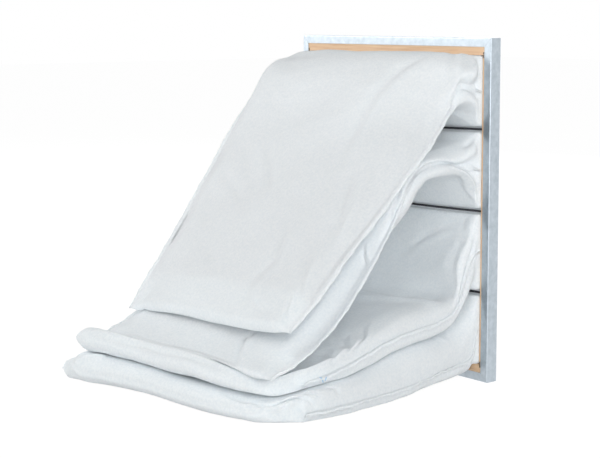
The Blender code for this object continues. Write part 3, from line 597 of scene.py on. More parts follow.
def crease(down, over, depth, width, points):
    """One fold along a line of (down, over) points: a valley with a soft ridge beside it."""
    route = np.array(points, float)
    best = np.full(down.shape, np.inf)
    side = np.zeros(down.shape)
    place = np.zeros(down.shape)
    lengths = np.linalg.norm(np.diff(route, axis=0), axis=1)
    for i, length in enumerate(lengths):
        a = route[i]
        way = (route[i + 1] - a) / length
        t = np.clip((down - a[0]) * way[0] + (over - a[1]) * way[1], 0, length)
        off_down, off_over = down - a[0] - way[0] * t, over - a[1] - way[1] * t
        gap = np.hypot(off_down, off_over)
        nearer = gap < best
        best = np.where(nearer, gap, best)
        side = np.where(nearer, np.sign(way[0] * off_over - way[1] * off_down), side)
        place = np.where(nearer, (lengths[:i].sum() + t) / lengths.sum(), place)
    fade = ease(place / FADE_IN) * ease((1 - place) / FADE_OUT)
    fade = DEPTH_AT_ENDS + (1 - DEPTH_AT_ENDS) * fade
    valley = -np.exp(-((best / width) ** 2))
    beside = (best * side - RIDGE_PLACE * width) / (RIDGE_WIDTH * width)
    ridge = RIDGE_HEIGHT * np.exp(-(beside**2))
    return depth * (valley + ridge) * fade * np.where(best > CREASE_REACH * width, 0, 1)


print("waves reach", round(float(waves(down, over, 0, 0.16, 0.0013).max()), 5))

# %% [markdown]
# ## Creases seen in the photo
# A sharp fold tells the eye that a surface is cloth, so the ones that show are drawn one by one.
# Each is a depth and a width in metres, then the points that it runs through, as distance down the
# sheet from the mouth and across it from its middle. A negative depth makes a raised fold.

# %% The drawn creases
CREASES = {
    ("pocket_1", "upper"): (
        (0.0045, 0.012, (
            (0.050, 0.142), (0.095, 0.105), (0.150, 0.088), (0.190, 0.084), (0.250, 0.092),
            (0.295, 0.105),
        )),
        (0.0030, 0.012, (
            (0.300, 0.134), (0.350, 0.155), (0.400, 0.175), (0.430, 0.188), (0.460, 0.194),
        )),
        (0.0030, 0.011, (
            (0.420, 0.067), (0.470, 0.084), (0.500, 0.090), (0.530, 0.072), (0.550, 0.067),
            (0.575, 0.080), (0.602, 0.105),
        )),
        (0.0022, 0.010, ((0.485, 0.155), (0.530, 0.190), (0.550, 0.210))),
        (0.0025, 0.005, ((0.562, 0.184), (0.580, 0.199), (0.590, 0.214))),
        (0.0025, 0.006, ((0.575, 0.100), (0.590, 0.130), (0.603, 0.163))),
        (0.0015, 0.013, ((0.290, -0.172), (0.333, -0.125), (0.362, -0.100))),
        (0.0024, 0.011, ((0.270, -0.120), (0.326, -0.063), (0.356, -0.038), (0.380, -0.033))),
        (0.0020, 0.010, ((0.366, -0.185), (0.371, -0.159), (0.388, -0.117), (0.406, -0.075))),
        (0.0030, 0.009, ((0.020, 0.160), (0.045, 0.190), (0.075, 0.212))),
    ),
    ("pocket_1", "lower"): (
        (0.0040, 0.005, ((0.060, 0.165), (0.038, 0.205), (0.027, 0.222), (0.020, 0.238))),
        (0.0024, 0.004, ((0.045, 0.198), (0.026, 0.207), (0.006, 0.221))),
    ),
    ("pocket_2", "upper"): (
        (0.0050, 0.006, ((0.000, 0.228), (0.023, 0.219), (0.044, 0.212))),
        (-0.0040, 0.006, ((0.023, 0.222), (0.021, 0.233), (0.008, 0.258), (0.000, 0.268))),
        (0.0050, 0.006, (
            (0.520, 0.112), (0.540, 0.097), (0.560, 0.108), (0.586, 0.127), (0.606, 0.146),
        )),
        (0.0030, 0.006, ((0.200, 0.215), (0.230, 0.228), (0.260, 0.236))),
        (0.0035, 0.004, ((0.325, 0.212), (0.335, 0.228), (0.340, 0.245))),
    ),
    ("pocket_2", "lower"): (
        (-0.0040, 0.010, (
            (0.200, 0.215), (0.160, 0.222), (0.120, 0.226), (0.070, 0.222), (0.020, 0.215),
        )),
        (-0.0030, 0.005, ((0.070, 0.203), (0.041, 0.213), (0.020, 0.229), (0.004, 0.232))),
        (0.0030, 0.005, ((0.300, 0.220), (0.322, 0.236), (0.330, 0.246))),
    ),
    ("pocket_3", "upper"): (
        (0.0050, 0.007, (
            (0.000, 0.208), (0.031, 0.199), (0.041, 0.157), (0.057, 0.112), (0.082, 0.084),
        )),
        (-0.0060, 0.009, (
            (0.000, 0.220), (0.041, 0.226), (0.069, 0.224), (0.100, 0.226), (0.127, 0.232),
        )),
        (0.0050, 0.006, (
            (0.000, 0.236), (0.008, 0.250), (0.050, 0.248), (0.078, 0.244), (0.101, 0.246),
            (0.125, 0.246),
        )),
        (0.0060, 0.016, (
            (0.190, -0.080), (0.180, 0.000), (0.179, 0.060), (0.179, 0.108), (0.168, 0.141),
            (0.148, 0.174),
        )),
        (-0.0055, 0.014, (
            (0.255, -0.040), (0.245, 0.040), (0.240, 0.091), (0.228, 0.130), (0.215, 0.178),
            (0.196, 0.202), (0.165, 0.222), (0.137, 0.236),
        )),
        (0.0032, 0.009, ((0.370, 0.140), (0.388, 0.175), (0.392, 0.207), (0.372, 0.262))),
        (0.0026, 0.007, ((0.346, 0.190), (0.352, 0.225), (0.362, 0.262))),
        (0.0034, 0.009, ((0.442, 0.171), (0.430, 0.215), (0.396, 0.268))),
        (0.0045, 0.005, (
            (0.636, -0.200), (0.626, -0.172), (0.613, -0.129), (0.597, -0.075), (0.595, -0.008),
            (0.589, 0.070), (0.580, 0.150),
        )),
    ),
    ("pocket_3", "lower"): (),
    ("pocket_4", "upper"): (
        (0.0034, 0.005, ((0.506, 0.200), (0.486, 0.244), (0.462, 0.274), (0.456, 0.288))),
        (0.0034, 0.005, ((0.468, 0.236), (0.442, 0.270), (0.430, 0.288))),
        (0.0030, 0.005, ((0.438, 0.254), (0.408, 0.274), (0.400, 0.288))),
        (0.0025, 0.004, ((0.387, 0.254), (0.370, 0.267), (0.369, 0.286))),
        (0.0040, 0.004, (
            (0.420, 0.292), (0.444, 0.265), (0.476, 0.232), (0.498, 0.204), (0.510, 0.175),
            (0.512, 0.146), (0.510, 0.129), (0.500, 0.110),
        )),
        (0.0025, 0.005, ((0.090, 0.150), (0.100, 0.190), (0.096, 0.225))),
        (0.0022, 0.005, ((0.115, 0.160), (0.122, 0.195), (0.118, 0.220))),
        (-0.0050, 0.008, ((0.545, -0.170), (0.565, -0.205), (0.590, -0.222))),
    ),
    ("pocket_4", "lower"): (),
}
print("creases", {" ".join(key): len(folds) for key, folds in CREASES.items()})

# %% [markdown]
# ## Folding a sheet
# The waves and creases of a sheet are added up and fade out at the mouth and beside the stitches,
# because cloth is held flat there. The waves come in two sets, each a length, a height and a first
# seed, so that every sheet has its own pattern and keeps it from run to run. The front seam of
# pocket_4 shows as a shallow groove, so it is one more push, at a fixed distance from the end.

# %% Folding one sheet
WAVES = ((0.16, 0.0013, 0), (0.05, 0.00025, 5))
SEEDS_PER_POCKET = 10
END_STITCHES = {"pocket_4": 0.020}
END_STITCH_DEPTH = 0.0022
END_STITCH_WIDTH = 0.0035
STITCH_FADE = 4
MOUTH_FREE = 0.030


def fold_sheet(name, which, pocket_number, grid):
    """A sheet pushed along its normals by its waves, its creases and its end seam."""
    down, over = travelled(grid)
    push = np.zeros_like(down)
    for length, height, first_seed in WAVES:
        seed = SEEDS_PER_POCKET * pocket_number + first_seed + (which == "lower")
        push += waves(down, over, seed, length, height)
    for depth, width, points in CREASES[name, which]:
        push += crease(down, over, depth, width, points)
    if which == "upper" and name in END_STITCHES:
        off_seam = down[-1:] - down - END_STITCHES[name]
        push -= END_STITCH_DEPTH * np.exp(-((off_seam / END_STITCH_WIDTH) ** 2))
    fade = ease(np.abs(from_stitches) / STITCH_FADE) * ease((front - grid[..., 1]) / MOUTH_FREE)
    way = 1 if which == "upper" else -1
    return grid + normals(grid) * (push * fade * way)[..., None]


print("end seam on", *END_STITCHES)

# %% [markdown]
# ## Lying on the pile
# The pockets are made from the bottom up. Each lower sheet asks what is under it, the floor or the
# pockets already made, and is lifted where it would sink in. A Shrinkwrap modifier could hold the
# cloth off one mesh, but rays cast straight down give each point's lift, which can then be blurred,
# so that the cloth rests softly and keeps its folds.

# %% Lifting a sheet off what is below
PILE_CLEARANCE = 0.0010
LOOK_FROM = 1.0
NOTHING = -1.0
GROUND_SPREAD = 3
GROUND_BLUR = 2
LIFT_BLUR = 6


def neighbours(field):
    """Four fields with each point's neighbours, the edge ones repeated."""
    padded = np.pad(field, 1, mode="edge")
    return padded[:-2, 1:-1], padded[2:, 1:-1], padded[1:-1, :-2], padded[1:-1, 2:]


def smooth_field(field, times):
    """A field blurred a little, row by row and column by column."""
    for _ in range(times):
        field = sum(neighbours(field)) / 4
    return field


def ground_below(grid, pile):
    """Height of the pile under each point, or NOTHING where there is none."""
    ground = np.full(grid.shape[:2], NOTHING)
    if pile is None:
        return ground
    for r, c in np.ndindex(ground.shape):
        x, y, _ = grid[r, c]
        hit = pile.ray_cast(Vector((x, y, LOOK_FROM)), Vector((0, 0, -1)))[0]
        if hit is not None:
            ground[r, c] = hit.z
    return ground


def lift_off(lower, pile):
    """A lower sheet, lifted softly off the floor and the pile."""
    found = ground_below(lower, pile)
    spread = found
    for _ in range(GROUND_SPREAD):
        spread = np.max([*neighbours(spread), spread], axis=0)
    soft = smooth_field(spread, GROUND_BLUR)
    ground = np.where(found > NOTHING, np.maximum(found, soft), spread)
    need = np.maximum(ground, 0) + PILE_CLEARANCE - lower[..., 2]
    lift = np.maximum(need, 0) * ease((front - lower[..., 1]) / MOUTH_FREE)
    lower = lower.copy()
    lower[..., 2] += np.maximum(lift, smooth_field(lift, LIFT_BLUR))
    return lower


print("cloth stays", PILE_CLEARANCE, "off what is below")

# %% [markdown]
# ## Two sheets as one pocket
# Two sheets that lie on each other still have their own thickness and a little air between them, so
# the upper one is lifted where it comes too near. At the hem they lie closer, at their outer edge
# they meet, and at the sewn end they close in a round roll.

# %% Settling one pocket
LEAST_FULLNESS = 0.0060
HEM_THICKNESS = 0.0012
FILL_COLUMNS = 10
FLAT_END = 0.03
END_FULLNESS = 0.25
SHORT_BLUR = 3
END_GAP = 0.10
LAST_GAP = 0.12


def least_gap(upper):
    """The least height of the upper sheet over the lower one, at every point."""
    least = LEAST_FULLNESS * np.clip(from_stitches / FILL_COLUMNS, 0, 1) + HEM_THICKNESS
    least[from_stitches >= FILL_COLUMNS] = LEAST_FULLNESS
    least[[0, -1]] = 0
    free = ease((front - upper[..., 1]) / MOUTH_FREE)
    before_end = np.clip((1 - along) / FLAT_END, 0, 1) ** 0.5
    return least * free * (END_FULLNESS + (1 - END_FULLNESS) * before_end)[:, None]


def settle(upper, lower, pile):
    """Lifts the lower sheet off the pile and the upper one off the lower, and joins their edges."""
    lower = lift_off(lower, pile)
    short = np.maximum(least_gap(upper) - (upper[..., 2] - lower[..., 2]), 0)
    short[:, [0, -1]] = 0
    upper = upper.copy()
    upper[..., 2] += np.maximum(short, smooth_field(short, SHORT_BLUR) * (short > 0))
    edge = (upper[:, [0, -1]] + lower[:, [0, -1]]) / 2
    edge[..., 2] = np.maximum(edge[..., 2], lower[:, [1, -2], 2])
    upper[:, [0, -1]] = edge
    lower[:, [0, -1]] = edge
    return upper, lower


def round_end(upper, lower, roll):
    """Brings both sheets together in a round end."""
    middle = (upper + lower) / 2
    down, _ = travelled(middle)
    share = np.clip(1 - (down[-1:] - down) / roll, 0, 1)
    gap = np.sqrt(1 - share**2) * (1 - END_GAP) + END_GAP
    gap[-1] = LAST_GAP
    return middle + (upper - middle) * gap[..., None], middle + (lower - middle) * gap[..., None]


print("least fullness", LEAST_FULLNESS)

# %% [markdown]
# ## The outer skin
# A pocket is a bag that is open at the back, where its edge is turned out over the battens as a
# lip and held under the frame's flange. So the outer skin starts at the back of the lip, goes round
# it to the mouth and on down the two sheets, ring by ring, as an extrusion in edit mode would.

# %% Rings of points and the faces between them
def add_ring(points, halves):
    """Adds the upper and lower half of a ring to the points, and gives their numbers."""
    numbers = []
    for half in halves:
        numbers.append(list(range(len(points), len(points) + len(half))))
        points += [tuple(point) for point in half]
    return numbers


def bridge(rings):
    """Faces between rings with as many points, one after another."""
    return [
        (a[i - 1], a[i], b[i], b[i - 1]) for a, b in zip(rings, rings[1:]) for i in range(len(a))
    ]


def close_across(tops, lows):
    """Faces across the end of a pocket, between its upper and its lower row."""
    return [tuple(dict.fromkeys(corners)) for corners in zip(tops, tops[1:], lows[1:], lows)]


print("a square of rings", bridge([[0, 1, 2, 3], [4, 5, 6, 7]]))

# %% The lip and the outside
LIP_WIDTH = 0.011
LIP_THICKNESS = 0.0024
TOUCH_GAP = 0.0003
LIP_FRONT = batten_back + TOUCH_GAP
LIP_BACK = LIP_FRONT + LIP_THICKNESS
NEXT_RING = 0.4


def mouth_ring(name, y, lip):
    """A ring of the mouth at depth y, grown outwards by a lip, but not past a rod."""
    low, high = POCKETS[name]["mouth"]
    halves = []
    for which, edge, way in (("upper", high, 1), ("lower", low, -1)):
        x, z = mouth_shape(name, which)
        rise = way * (z - (low + high) / 2)
        grow = 0 if edge in rod_heights else lip
        z = z + way * grow * np.clip(rise / rise.max(), 0, 1)
        halves.append(np.stack([x * (1 + lip / opening_half), np.full(column_count, y), z], 1))
    return halves


def outer_skin(name, upper, lower, points):
    """Faces of the lip and the outside, and the ring at the back of the lip."""
    halves = [
        mouth_ring(name, LIP_BACK, LIP_WIDTH),
        mouth_ring(name, LIP_FRONT, LIP_WIDTH),
        mouth_ring(name, LIP_FRONT, 0),
        mouth_ring(name, LIP_FRONT * NEXT_RING + front * (1 - NEXT_RING), 0),
        *zip(upper, lower),
    ]
    numbers = [add_ring(points, (top, bottom[1:-1])) for top, bottom in halves]
    rings = [tops + lows[::-1] for tops, lows in numbers]
    tops, lows = numbers[-1]
    return bridge(rings) + close_across(tops, [tops[0], *lows, tops[-1]]), rings[0]


print("lip from", round(LIP_FRONT, 4), "to", round(LIP_BACK, 4))

# %% [markdown]
# ## The hollow
# The inside of a pocket shows through its mouth from behind. A Solidify modifier gives a cloth its
# thickness, but where two sheets nearly touch it would push its inner wall through itself. The
# hollow is a coarser second skin instead. It keeps one cloth's thickness where there is room, less
# where there isn't, and it ends before the sewn end.

# %% The inner skin
CLOTH = 0.0024
ROOM_SHARE = 0.36
LEAST_HOLLOW = 0.0002
INNER_MOUTH = 0.985
HOLLOW_STEP = 3
HOLLOW_END = 0.90


def hollow(upper, lower):
    """The inner skin, one cloth's thickness in from the outer one where there is room."""
    room = np.linalg.norm(upper - lower, axis=2)
    inset = np.minimum(CLOTH, ROOM_SHARE * room)[..., None]
    up_in = upper - normals(upper) * inset
    low_in = lower + normals(lower) * inset
    middle = (upper + lower) / 2
    crossed = up_in[..., 2] < low_in[..., 2] + LEAST_HOLLOW
    up_in[crossed] = middle[crossed] + [0, 0, LEAST_HOLLOW / 2]
    low_in[crossed] = middle[crossed] - [0, 0, LEAST_HOLLOW / 2]
    return up_in, low_in


def inner_mouth(name, y):
    """The hollow's ring at depth y, one cloth's thickness inside the mouth."""
    halves = []
    for which, way in (("upper", -1), ("lower", 1)):
        x, z = mouth_shape(name, which)
        halves.append(np.stack([x * INNER_MOUTH, np.full(column_count, y), z + way * CLOTH], 1))
    return halves


def inner_skin(name, upper, lower, points):
    """Faces of the hollow, and its ring at the back of the lip."""
    first, last = stitch_columns[0] + 2, stitch_columns[1] - 2
    picked = np.unique([*range(first, last + 1, HOLLOW_STEP), last])
    up_in, low_in = hollow(upper, lower)
    rows = [r for r in range(HOLLOW_STEP, len(along), HOLLOW_STEP) if along[r] < HOLLOW_END]
    halves = [inner_mouth(name, LIP_BACK), inner_mouth(name, front)]
    halves += [(up_in[r], low_in[r]) for r in rows]
    numbers = [add_ring(points, (top[picked], bottom[picked])) for top, bottom in halves]
    rings = [tops + lows[::-1] for tops, lows in numbers]
    deep_tops, deep_lows = numbers[-1]
    return bridge(rings[::-1]) + close_across(deep_lows, deep_tops), rings[0]


print("hollow ends at", HOLLOW_END, "of the pocket")

# %% [markdown]
# ## Closing the lip
# At the back of the lip, the outer skin's ring and the hollow's ring have different numbers of
# points. Bridge Edge Loops could join them, but walking round both rings, and always stepping on
# the one that lags, keeps the band of triangles even. Then the points that lie on each other are
# merged, and the faces are turned outwards.

# %% The band between the two skins, and the finished mesh
SAME_POINT = 0.000005
BACKWARD = 0.2


def angles_round(points, ring):
    """The angle of each point of a ring about its centre, seen from behind."""
    cloud = np.array([points[i] for i in ring])[:, [0, 2]]
    centre = (cloud.max(0) + cloud.min(0)) / 2
    return np.unwrap(np.arctan2(*((cloud - centre).T[::-1])))


def lip_faces(points, outer, inner):
    """Faces between two rings with different numbers of points, by walking round both."""
    full = 2 * math.pi
    a, b = angles_round(points, outer), angles_round(points, inner)
    if a[-1] < a[0]:
        a, b = -a, -b
    b = b + round((a[0] - b[0]) / full) * full
    start = int(np.argmin(np.abs((b - a[0] + math.pi) % full - math.pi)))
    order = [(start + k) % len(inner) for k in range(len(inner))]
    i = j = 0
    made = []
    while i < len(outer) or j < len(inner):
        here = outer[i % len(outer)]
        next_inner = order[(j + 1) % len(inner)]
        turn_a = a[(i + 1) % len(a)] - a[0] + (full if i + 1 >= len(a) else 0)
        turn_b = b[next_inner] - b[start]
        turn_b += full if turn_b < -BACKWARD or j + 1 >= len(inner) else 0
        if j >= len(inner) or (i < len(outer) and turn_a <= turn_b):
            made.append((here, outer[(i + 1) % len(outer)], inner[order[j % len(inner)]]))
            i += 1
        else:
            made.append((here, inner[next_inner], inner[order[j % len(inner)]]))
            j += 1
    return made


def pocket_mesh(name, upper, lower):
    """The outer skin, the lip and the hollow inside, as one closed surface."""
    points = []
    outer_faces, outer_ring = outer_skin(name, upper, lower, points)
    inner_faces, inner_ring = inner_skin(name, upper, lower, points)
    faces = outer_faces + inner_faces + lip_faces(points, outer_ring, inner_ring)
    mesh = bpy.data.meshes.new(name)
    mesh.from_pydata(points, [], faces)
    mesh.validate()
    body = bmesh.new()
    body.from_mesh(mesh)
    bmesh.ops.remove_doubles(body, verts=body.verts, dist=SAME_POINT)
    bmesh.ops.dissolve_degenerate(body, edges=body.edges, dist=SAME_POINT)
    bmesh.ops.recalc_face_normals(body, faces=body.faces)
    body.to_mesh(mesh)
    body.free()
    mesh.shade_smooth()
    return mesh


print("points nearer than", SAME_POINT, "are merged")

# %% [markdown]
# ## The pile
# Now the four pockets are made, the lowest first. Each finished one joins the pile that the next
# one is lifted off. The pile is a search tree of all their faces, which answers rays quickly.

# %% Building the pile of pockets
pile = None
pile_points, pile_faces = [], []
cloth_pieces = {}
for pocket_number, name in enumerate(POCKETS):
    spec = POCKETS[name]
    grids = {}
    for which in ("upper", "lower"):
        grid = join_to_mouth(name, which, sheet(spec, which))
        grids[which] = fold_sheet(name, which, pocket_number, grid)
    upper, lower = settle(grids["upper"], grids["lower"], pile)
    upper, lower = round_end(upper, lower, spec["end_roll"])
    mesh = pocket_mesh(name, upper, lower)
    piece = bpy.data.objects.new(f"{name}_cloth", mesh)
    bpy.context.collection.objects.link(piece)
    cloth_pieces[name] = piece
    offset = len(pile_points)
    pile_points += [v.co.copy() for v in mesh.vertices]
    pile_faces += [[offset + i for i in face.vertices] for face in mesh.polygons]
    pile = BVHTree.FromPolygons(pile_points, pile_faces)
    print(name, len(mesh.polygons), "faces")

# %% [markdown]
# ## The blue tack
# A few crossed stitches of light blue thread show on the lowest roll. Each is a small ball,
# stretched along the thread and set on the cloth where a ray from the side meets it. They are
# joined into one piece, because they are one length of thread.

# %% The blue tack through the lowest roll
TACK_PLACE = (-0.372, 0.060)
TACK_THREAD = 0.0011
TACK_STRETCH = 3.4
TACK_PROUD = 0.3
TACK_STITCHES = ((0.0, 0.0, 20), (0.004, 0.003, -25), (-0.003, 0.005, 65))
BESIDE = 0.5
bpy.ops.object.select_all(action="DESELECT")
stitches = []
for out, up, turn in TACK_STITCHES:
    y, z = TACK_PLACE[0] + out, TACK_PLACE[1] + up
    hit = pile.ray_cast(Vector((BESIDE, y, z)), Vector((-1, 0, 0)))[0]
    bpy.ops.mesh.primitive_uv_sphere_add(
        segments=16, ring_count=8, radius=TACK_THREAD,
        location=(hit.x + TACK_THREAD * TACK_PROUD, y, z), rotation=(math.radians(turn), 0, 0),
    )
    stitch = bpy.context.object
    stitch.scale = (1, 1, TACK_STRETCH)
    stitches.append(stitch)
for stitch in stitches:
    stitch.select_set(True)
bpy.ops.object.join()
tack = bpy.context.object
tack.name = "blue_tack"
bpy.ops.object.transform_apply(location=True, rotation=True, scale=True)
bpy.ops.object.shade_smooth()
print("tack at", tuple(round(v, 3) for v in tack.data.vertices[0].co))

# %% [markdown]
# ## Finishes
# Every finish is made of noise and bump on the piece's own coordinates, so it stays in place from
# any side. Image textures would need flat layouts of each piece, and noise in space needs none.
# Each finish is a Principled shader whose colour comes from a ramp, and a few helpers build it.

# %% Helpers for finishes
def finish(name, roughness, metallic=0.0):
    """A new material, its node tree and its shader."""
    material = bpy.data.materials.new(name)
    material.use_nodes = True
    tree = material.node_tree
    shader = tree.nodes["Principled BSDF"]
    shader.inputs["Roughness"].default_value = roughness
    shader.inputs["Metallic"].default_value = metallic
    return material, tree, shader


def object_place(tree, scale=(1, 1, 1)):
    """Object coordinates, stretched by a scale for each axis."""
    source = tree.nodes.new("ShaderNodeTexCoord")
    mapping = tree.nodes.new("ShaderNodeMapping")
    mapping.inputs["Scale"].default_value = scale
    tree.links.new(source.outputs["Object"], mapping.inputs["Vector"])
    return mapping.outputs["Vector"]


def noise_on(tree, place, scale, detail, roughness=0.5):
    """A noise pattern at a scale per metre."""
    node = tree.nodes.new("ShaderNodeTexNoise")
    node.inputs["Scale"].default_value = scale
    node.inputs["Detail"].default_value = detail
    node.inputs["Roughness"].default_value = roughness
    tree.links.new(place, node.inputs["Vector"])
    return node.outputs["Fac"]


def linear(channels):
    """A colour given as it looks on a screen, 0 to 255, in the linear values that Blender takes."""
    shares = [c / 255 for c in channels]
    return tuple(s / 12.92 if s <= 0.04045 else ((s + 0.055) / 1.055) ** 2.4 for s in shares)


def paint(tree, shader, value, stops):
    """Colours the surface along a value, by (place, screen colour) stops."""
    node = tree.nodes.new("ShaderNodeValToRGB")
    elements = node.color_ramp.elements
    while len(elements) < len(stops):
        elements.new(0.5)
    for element, (place, colour) in zip(elements, stops):
        element.position = place
        element.color = (*linear(colour), 1)
    tree.links.new(value, node.inputs["Fac"])
    tree.links.new(node.outputs["Color"], shader.inputs["Base Color"])


def bump(tree, shader, value, strength, depth):
    """Small relief from a value, on top of any that the shader already has."""
    node = tree.nodes.new("ShaderNodeBump")
    node.inputs["Strength"].default_value = strength
    node.inputs["Distance"].default_value = depth
    tree.links.new(value, node.inputs["Height"])
    if shader.inputs["Normal"].links:
        tree.links.new(shader.inputs["Normal"].links[0].from_socket, node.inputs["Normal"])
    tree.links.new(node.outputs["Normal"], shader.inputs["Normal"])


print("white in linear", [round(v, 3) for v in linear((228, 233, 236))])

# %% [markdown]
# ## Filter cloth
# The cloth is a soft white felt of fine fibres, needled and not woven, so it has no threads to
# draw. A fine bump gives the fibres and a broader one the uneven thickness. A little subsurface
# light and sheen soften the shadows in the folds, and the colour is mottled very faintly.

# %% White needled cloth
cloth, tree, shader = finish("white needled cloth", roughness=0.95)
place = object_place(tree)
mottle = noise_on(tree, place, scale=260, detail=5, roughness=0.6)
paint(tree, shader, mottle, ((0.35, (234, 241, 246)), (0.65, (244, 249, 252))))
shader.inputs["Subsurface Weight"].default_value = 0.5
shader.inputs["Subsurface Radius"].default_value = (1, 1, 1)
shader.inputs["Subsurface Scale"].default_value = 0.006
shader.inputs["Sheen Weight"].default_value = 0.15
shader.inputs["Sheen Roughness"].default_value = 0.6
shader.inputs["Specular IOR Level"].default_value = 0.15
fibres = noise_on(tree, place, scale=700, detail=6, roughness=0.7)
bump(tree, shader, fibres, strength=0.6, depth=0.0008)
lumps = noise_on(tree, place, scale=140, detail=3, roughness=0.5)
bump(tree, shader, lumps, strength=0.25, depth=0.0012)
print(cloth.name)

# %% [markdown]
# ## Galvanised steel
# Zinc sets on steel in flakes that reflect a little differently. Broad noise gives their two tones,
# and a cell pattern gives the faint relief between them, on a dull metal.

# %% Galvanised steel sheet
steel, tree, shader = finish("galvanised steel sheet", roughness=0.38, metallic=0.85)
place = object_place(tree)
spangle = tree.nodes.new("ShaderNodeTexVoronoi")
spangle.inputs["Scale"].default_value = 160
tree.links.new(place, spangle.inputs["Vector"])
flakes = noise_on(tree, place, scale=90, detail=5, roughness=0.6)
paint(tree, shader, flakes, ((0.3, (176, 187, 195)), (0.7, (198, 207, 215))))
bump(tree, shader, spangle.outputs["Distance"], strength=0.08, depth=0.0003)
print(steel.name)

# %% [markdown]
# ## Pine
# The grain of sawn pine runs along the batten. Noise that is squeezed across the batten and drawn
# out along it looks like grain, so one finish serves the level battens and one the upright ones.

# %% Pine, with its grain along each batten
ALONG_GRAIN = 1.2
ACROSS_GRAIN = 30


def pine_finish(name, scale):
    """Bare pine with grain along one axis."""
    pine, tree, shader = finish(name, roughness=0.65)
    grain = noise_on(tree, object_place(tree, scale), scale=9, detail=8, roughness=0.62)
    stops = ((0.25, (216, 172, 134)), (0.5, (236, 200, 164)), (0.75, (246, 216, 182)))
    paint(tree, shader, grain, stops)
    bump(tree, shader, grain, strength=0.2, depth=0.0006)
    return pine


pine_level = pine_finish(
    "pine along the top and bottom", (ALONG_GRAIN, ACROSS_GRAIN, ACROSS_GRAIN)
)
pine_upright = pine_finish("pine up the sides", (ACROSS_GRAIN, ACROSS_GRAIN, ALONG_GRAIN))
print(pine_level.name, "and", pine_upright.name)

# %% [markdown]
# ## Rods, staples and thread
# These three are thin, so a soft change between two tones is all that shows. On the rods it is
# drawn out along them, as the marks of drawing wire are.

# %% Rods, staples and thread
ROD_STRETCH = (4, 60, 60)
dark_rod, tree, shader = finish("dark drawn rod", roughness=0.45, metallic=0.6)
streaks = noise_on(tree, object_place(tree, ROD_STRETCH), scale=12, detail=4)
paint(tree, shader, streaks, ((0.3, (52, 52, 56)), (0.7, (92, 92, 98))))
wire, tree, shader = finish("staple wire", roughness=0.4, metallic=0.8)
dulling = noise_on(tree, object_place(tree), scale=300, detail=3)
paint(tree, shader, dulling, ((0.3, (70, 66, 66)), (0.7, (120, 116, 116))))
thread, tree, shader = finish("light blue thread", roughness=0.8)
strands = noise_on(tree, object_place(tree), scale=900, detail=3)
paint(tree, shader, strands, ((0.3, (176, 208, 236)), (0.7, (200, 224, 244))))
print(dark_rod.name, wire.name, thread.name)

# %% [markdown]
# ## Dressing the parts
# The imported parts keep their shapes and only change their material. The four new cloth pieces stand
# in for the plain solids of the pockets, and the tack rides on the same body as they do.

# %% Dressing the parts
for node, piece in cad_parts.items():
    if "rail" in node:
        dressed = steel
    elif node in ("top_batten", "bottom_batten"):
        dressed = pine_level
    elif "batten" in node:
        dressed = pine_upright
    elif "rod" in node:
        dressed = dark_rod
    elif "staple" in node:
        dressed = wire
    else:
        dressed = cloth
    piece.data.materials.clear()
    piece.data.materials.append(dressed)
tack.data.materials.append(thread)
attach(tack, "root")
print("dressed", len(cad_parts), "parts and the tack")

# %% The four pockets take the places of their solids
for name, piece in cloth_pieces.items():
    piece.data.materials.append(cloth)
    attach(piece, "root")
    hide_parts(name)
print("dressed", len(cloth_pieces), "pockets")

# %% [markdown]
# ## Stage and light
# A plain white floor and white surroundings. The camera and reflections see them as white, and the
# light that reaches the filter stays at a plain level. Brighter lamps would whiten the background
# too, but they would also wash out the cloth, so the white comes from what each ray is told to see.

# %% What the camera and reflections see
def seen_share(tree):
    """1 for camera, glossy and transmission rays, otherwise 0."""
    rays = tree.nodes.new("ShaderNodeLightPath")
    value = rays.outputs["Is Camera Ray"]
    for name in ("Is Glossy Ray", "Is Transmission Ray"):
        node = tree.nodes.new("ShaderNodeMath")
        node.operation = "MAXIMUM"
        tree.links.new(value, node.inputs[0])
        tree.links.new(rays.outputs[name], node.inputs[1])
        value = node.outputs["Value"]
    return value


AMBIENT = 0.20
world = bpy.data.worlds.new("white surroundings")
world.use_nodes = True
bpy.context.scene.world = world
tree = world.node_tree
level = tree.nodes.new("ShaderNodeMapRange")
level.inputs["To Min"].default_value = AMBIENT
level.inputs["To Max"].default_value = 1.0
tree.links.new(seen_share(tree), level.inputs["Value"])
tree.links.new(level.outputs["Result"], tree.nodes["Background"].inputs["Strength"])
tree.nodes["Background"].inputs["Color"].default_value = (1, 1, 1, 1)
print("ambient", AMBIENT)

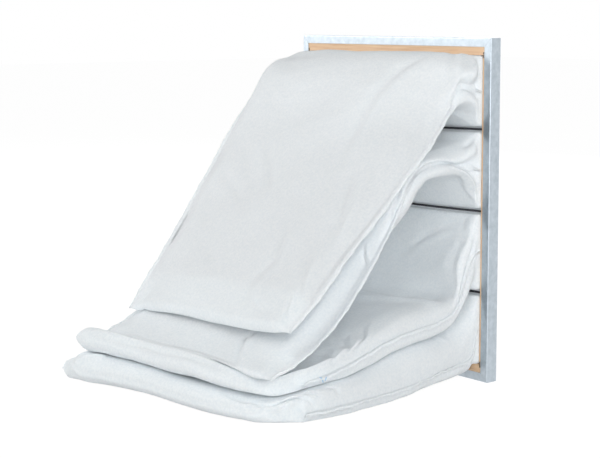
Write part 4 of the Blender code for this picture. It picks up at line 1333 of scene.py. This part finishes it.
# %% The floor
FLOOR_SIZE = 30
FLOOR_LEVEL = -0.0002
FLOOR_TONE = 0.85
FLOOR_GLOW = 1.12
GLOW_SHARE = 0.85
bpy.ops.object.select_all(action="DESELECT")
bpy.ops.mesh.primitive_plane_add(size=FLOOR_SIZE, location=(0, 0, FLOOR_LEVEL))
floor = bpy.context.object
floor.name = "floor"
paper, tree, shader = finish("white floor", roughness=0.9)
shader.inputs["Base Color"].default_value = (FLOOR_TONE, FLOOR_TONE, FLOOR_TONE, 1)
glow = tree.nodes.new("ShaderNodeEmission")
glow.inputs["Strength"].default_value = FLOOR_GLOW
share = tree.nodes.new("ShaderNodeMath")
share.operation = "MULTIPLY"
share.inputs[1].default_value = GLOW_SHARE
blend = tree.nodes.new("ShaderNodeMixShader")
tree.links.new(seen_share(tree), share.inputs[0])
tree.links.new(share.outputs["Value"], blend.inputs["Fac"])
tree.links.new(shader.outputs["BSDF"], blend.inputs[1])
tree.links.new(glow.outputs["Emission"], blend.inputs[2])
tree.links.new(blend.outputs["Shader"], tree.nodes["Material Output"].inputs["Surface"])
floor.data.materials.append(paper)
print("floor", FLOOR_SIZE, "wide")

# %% [markdown]
# ## Lamps
# Five large square lamps stand round the filter. Wide lamps make soft shadows, as in a white
# studio, and the stronger two, on the left and behind, shine down on the pockets from above.

# %% Lamps
LAMP_SIZE = 2.7
LAMP_AIM = (0, -0.2, 0.25)
BACK_AIM = (0, 0, 0.3)
LAMPS = {
    "right low": ((3.4, -1.2, 1.2), LAMP_AIM, 40),
    "right high": ((3.4, -0.5, 2.6), LAMP_AIM, 18),
    "front": ((2.6, -2.6, 0.95), LAMP_AIM, 42),
    "left": ((-2.4, -2.1, 1.9), LAMP_AIM, 62),
    "back": ((-1.2, 3.2, 1.5), BACK_AIM, 60),
}
for name, (place, aim, power) in LAMPS.items():
    lamp = bpy.data.lights.new(name, "AREA")
    lamp.size = LAMP_SIZE
    lamp.energy = power
    holder = bpy.data.objects.new(name, lamp)
    holder.location = place
    holder.rotation_euler = (Vector(aim) - Vector(place)).to_track_quat("-Z", "Y").to_euler()
    bpy.context.collection.objects.link(holder)
bpy.context.scene.view_settings.view_transform = "Standard"
print("lamps", {name: power for name, (place, aim, power) in LAMPS.items()})
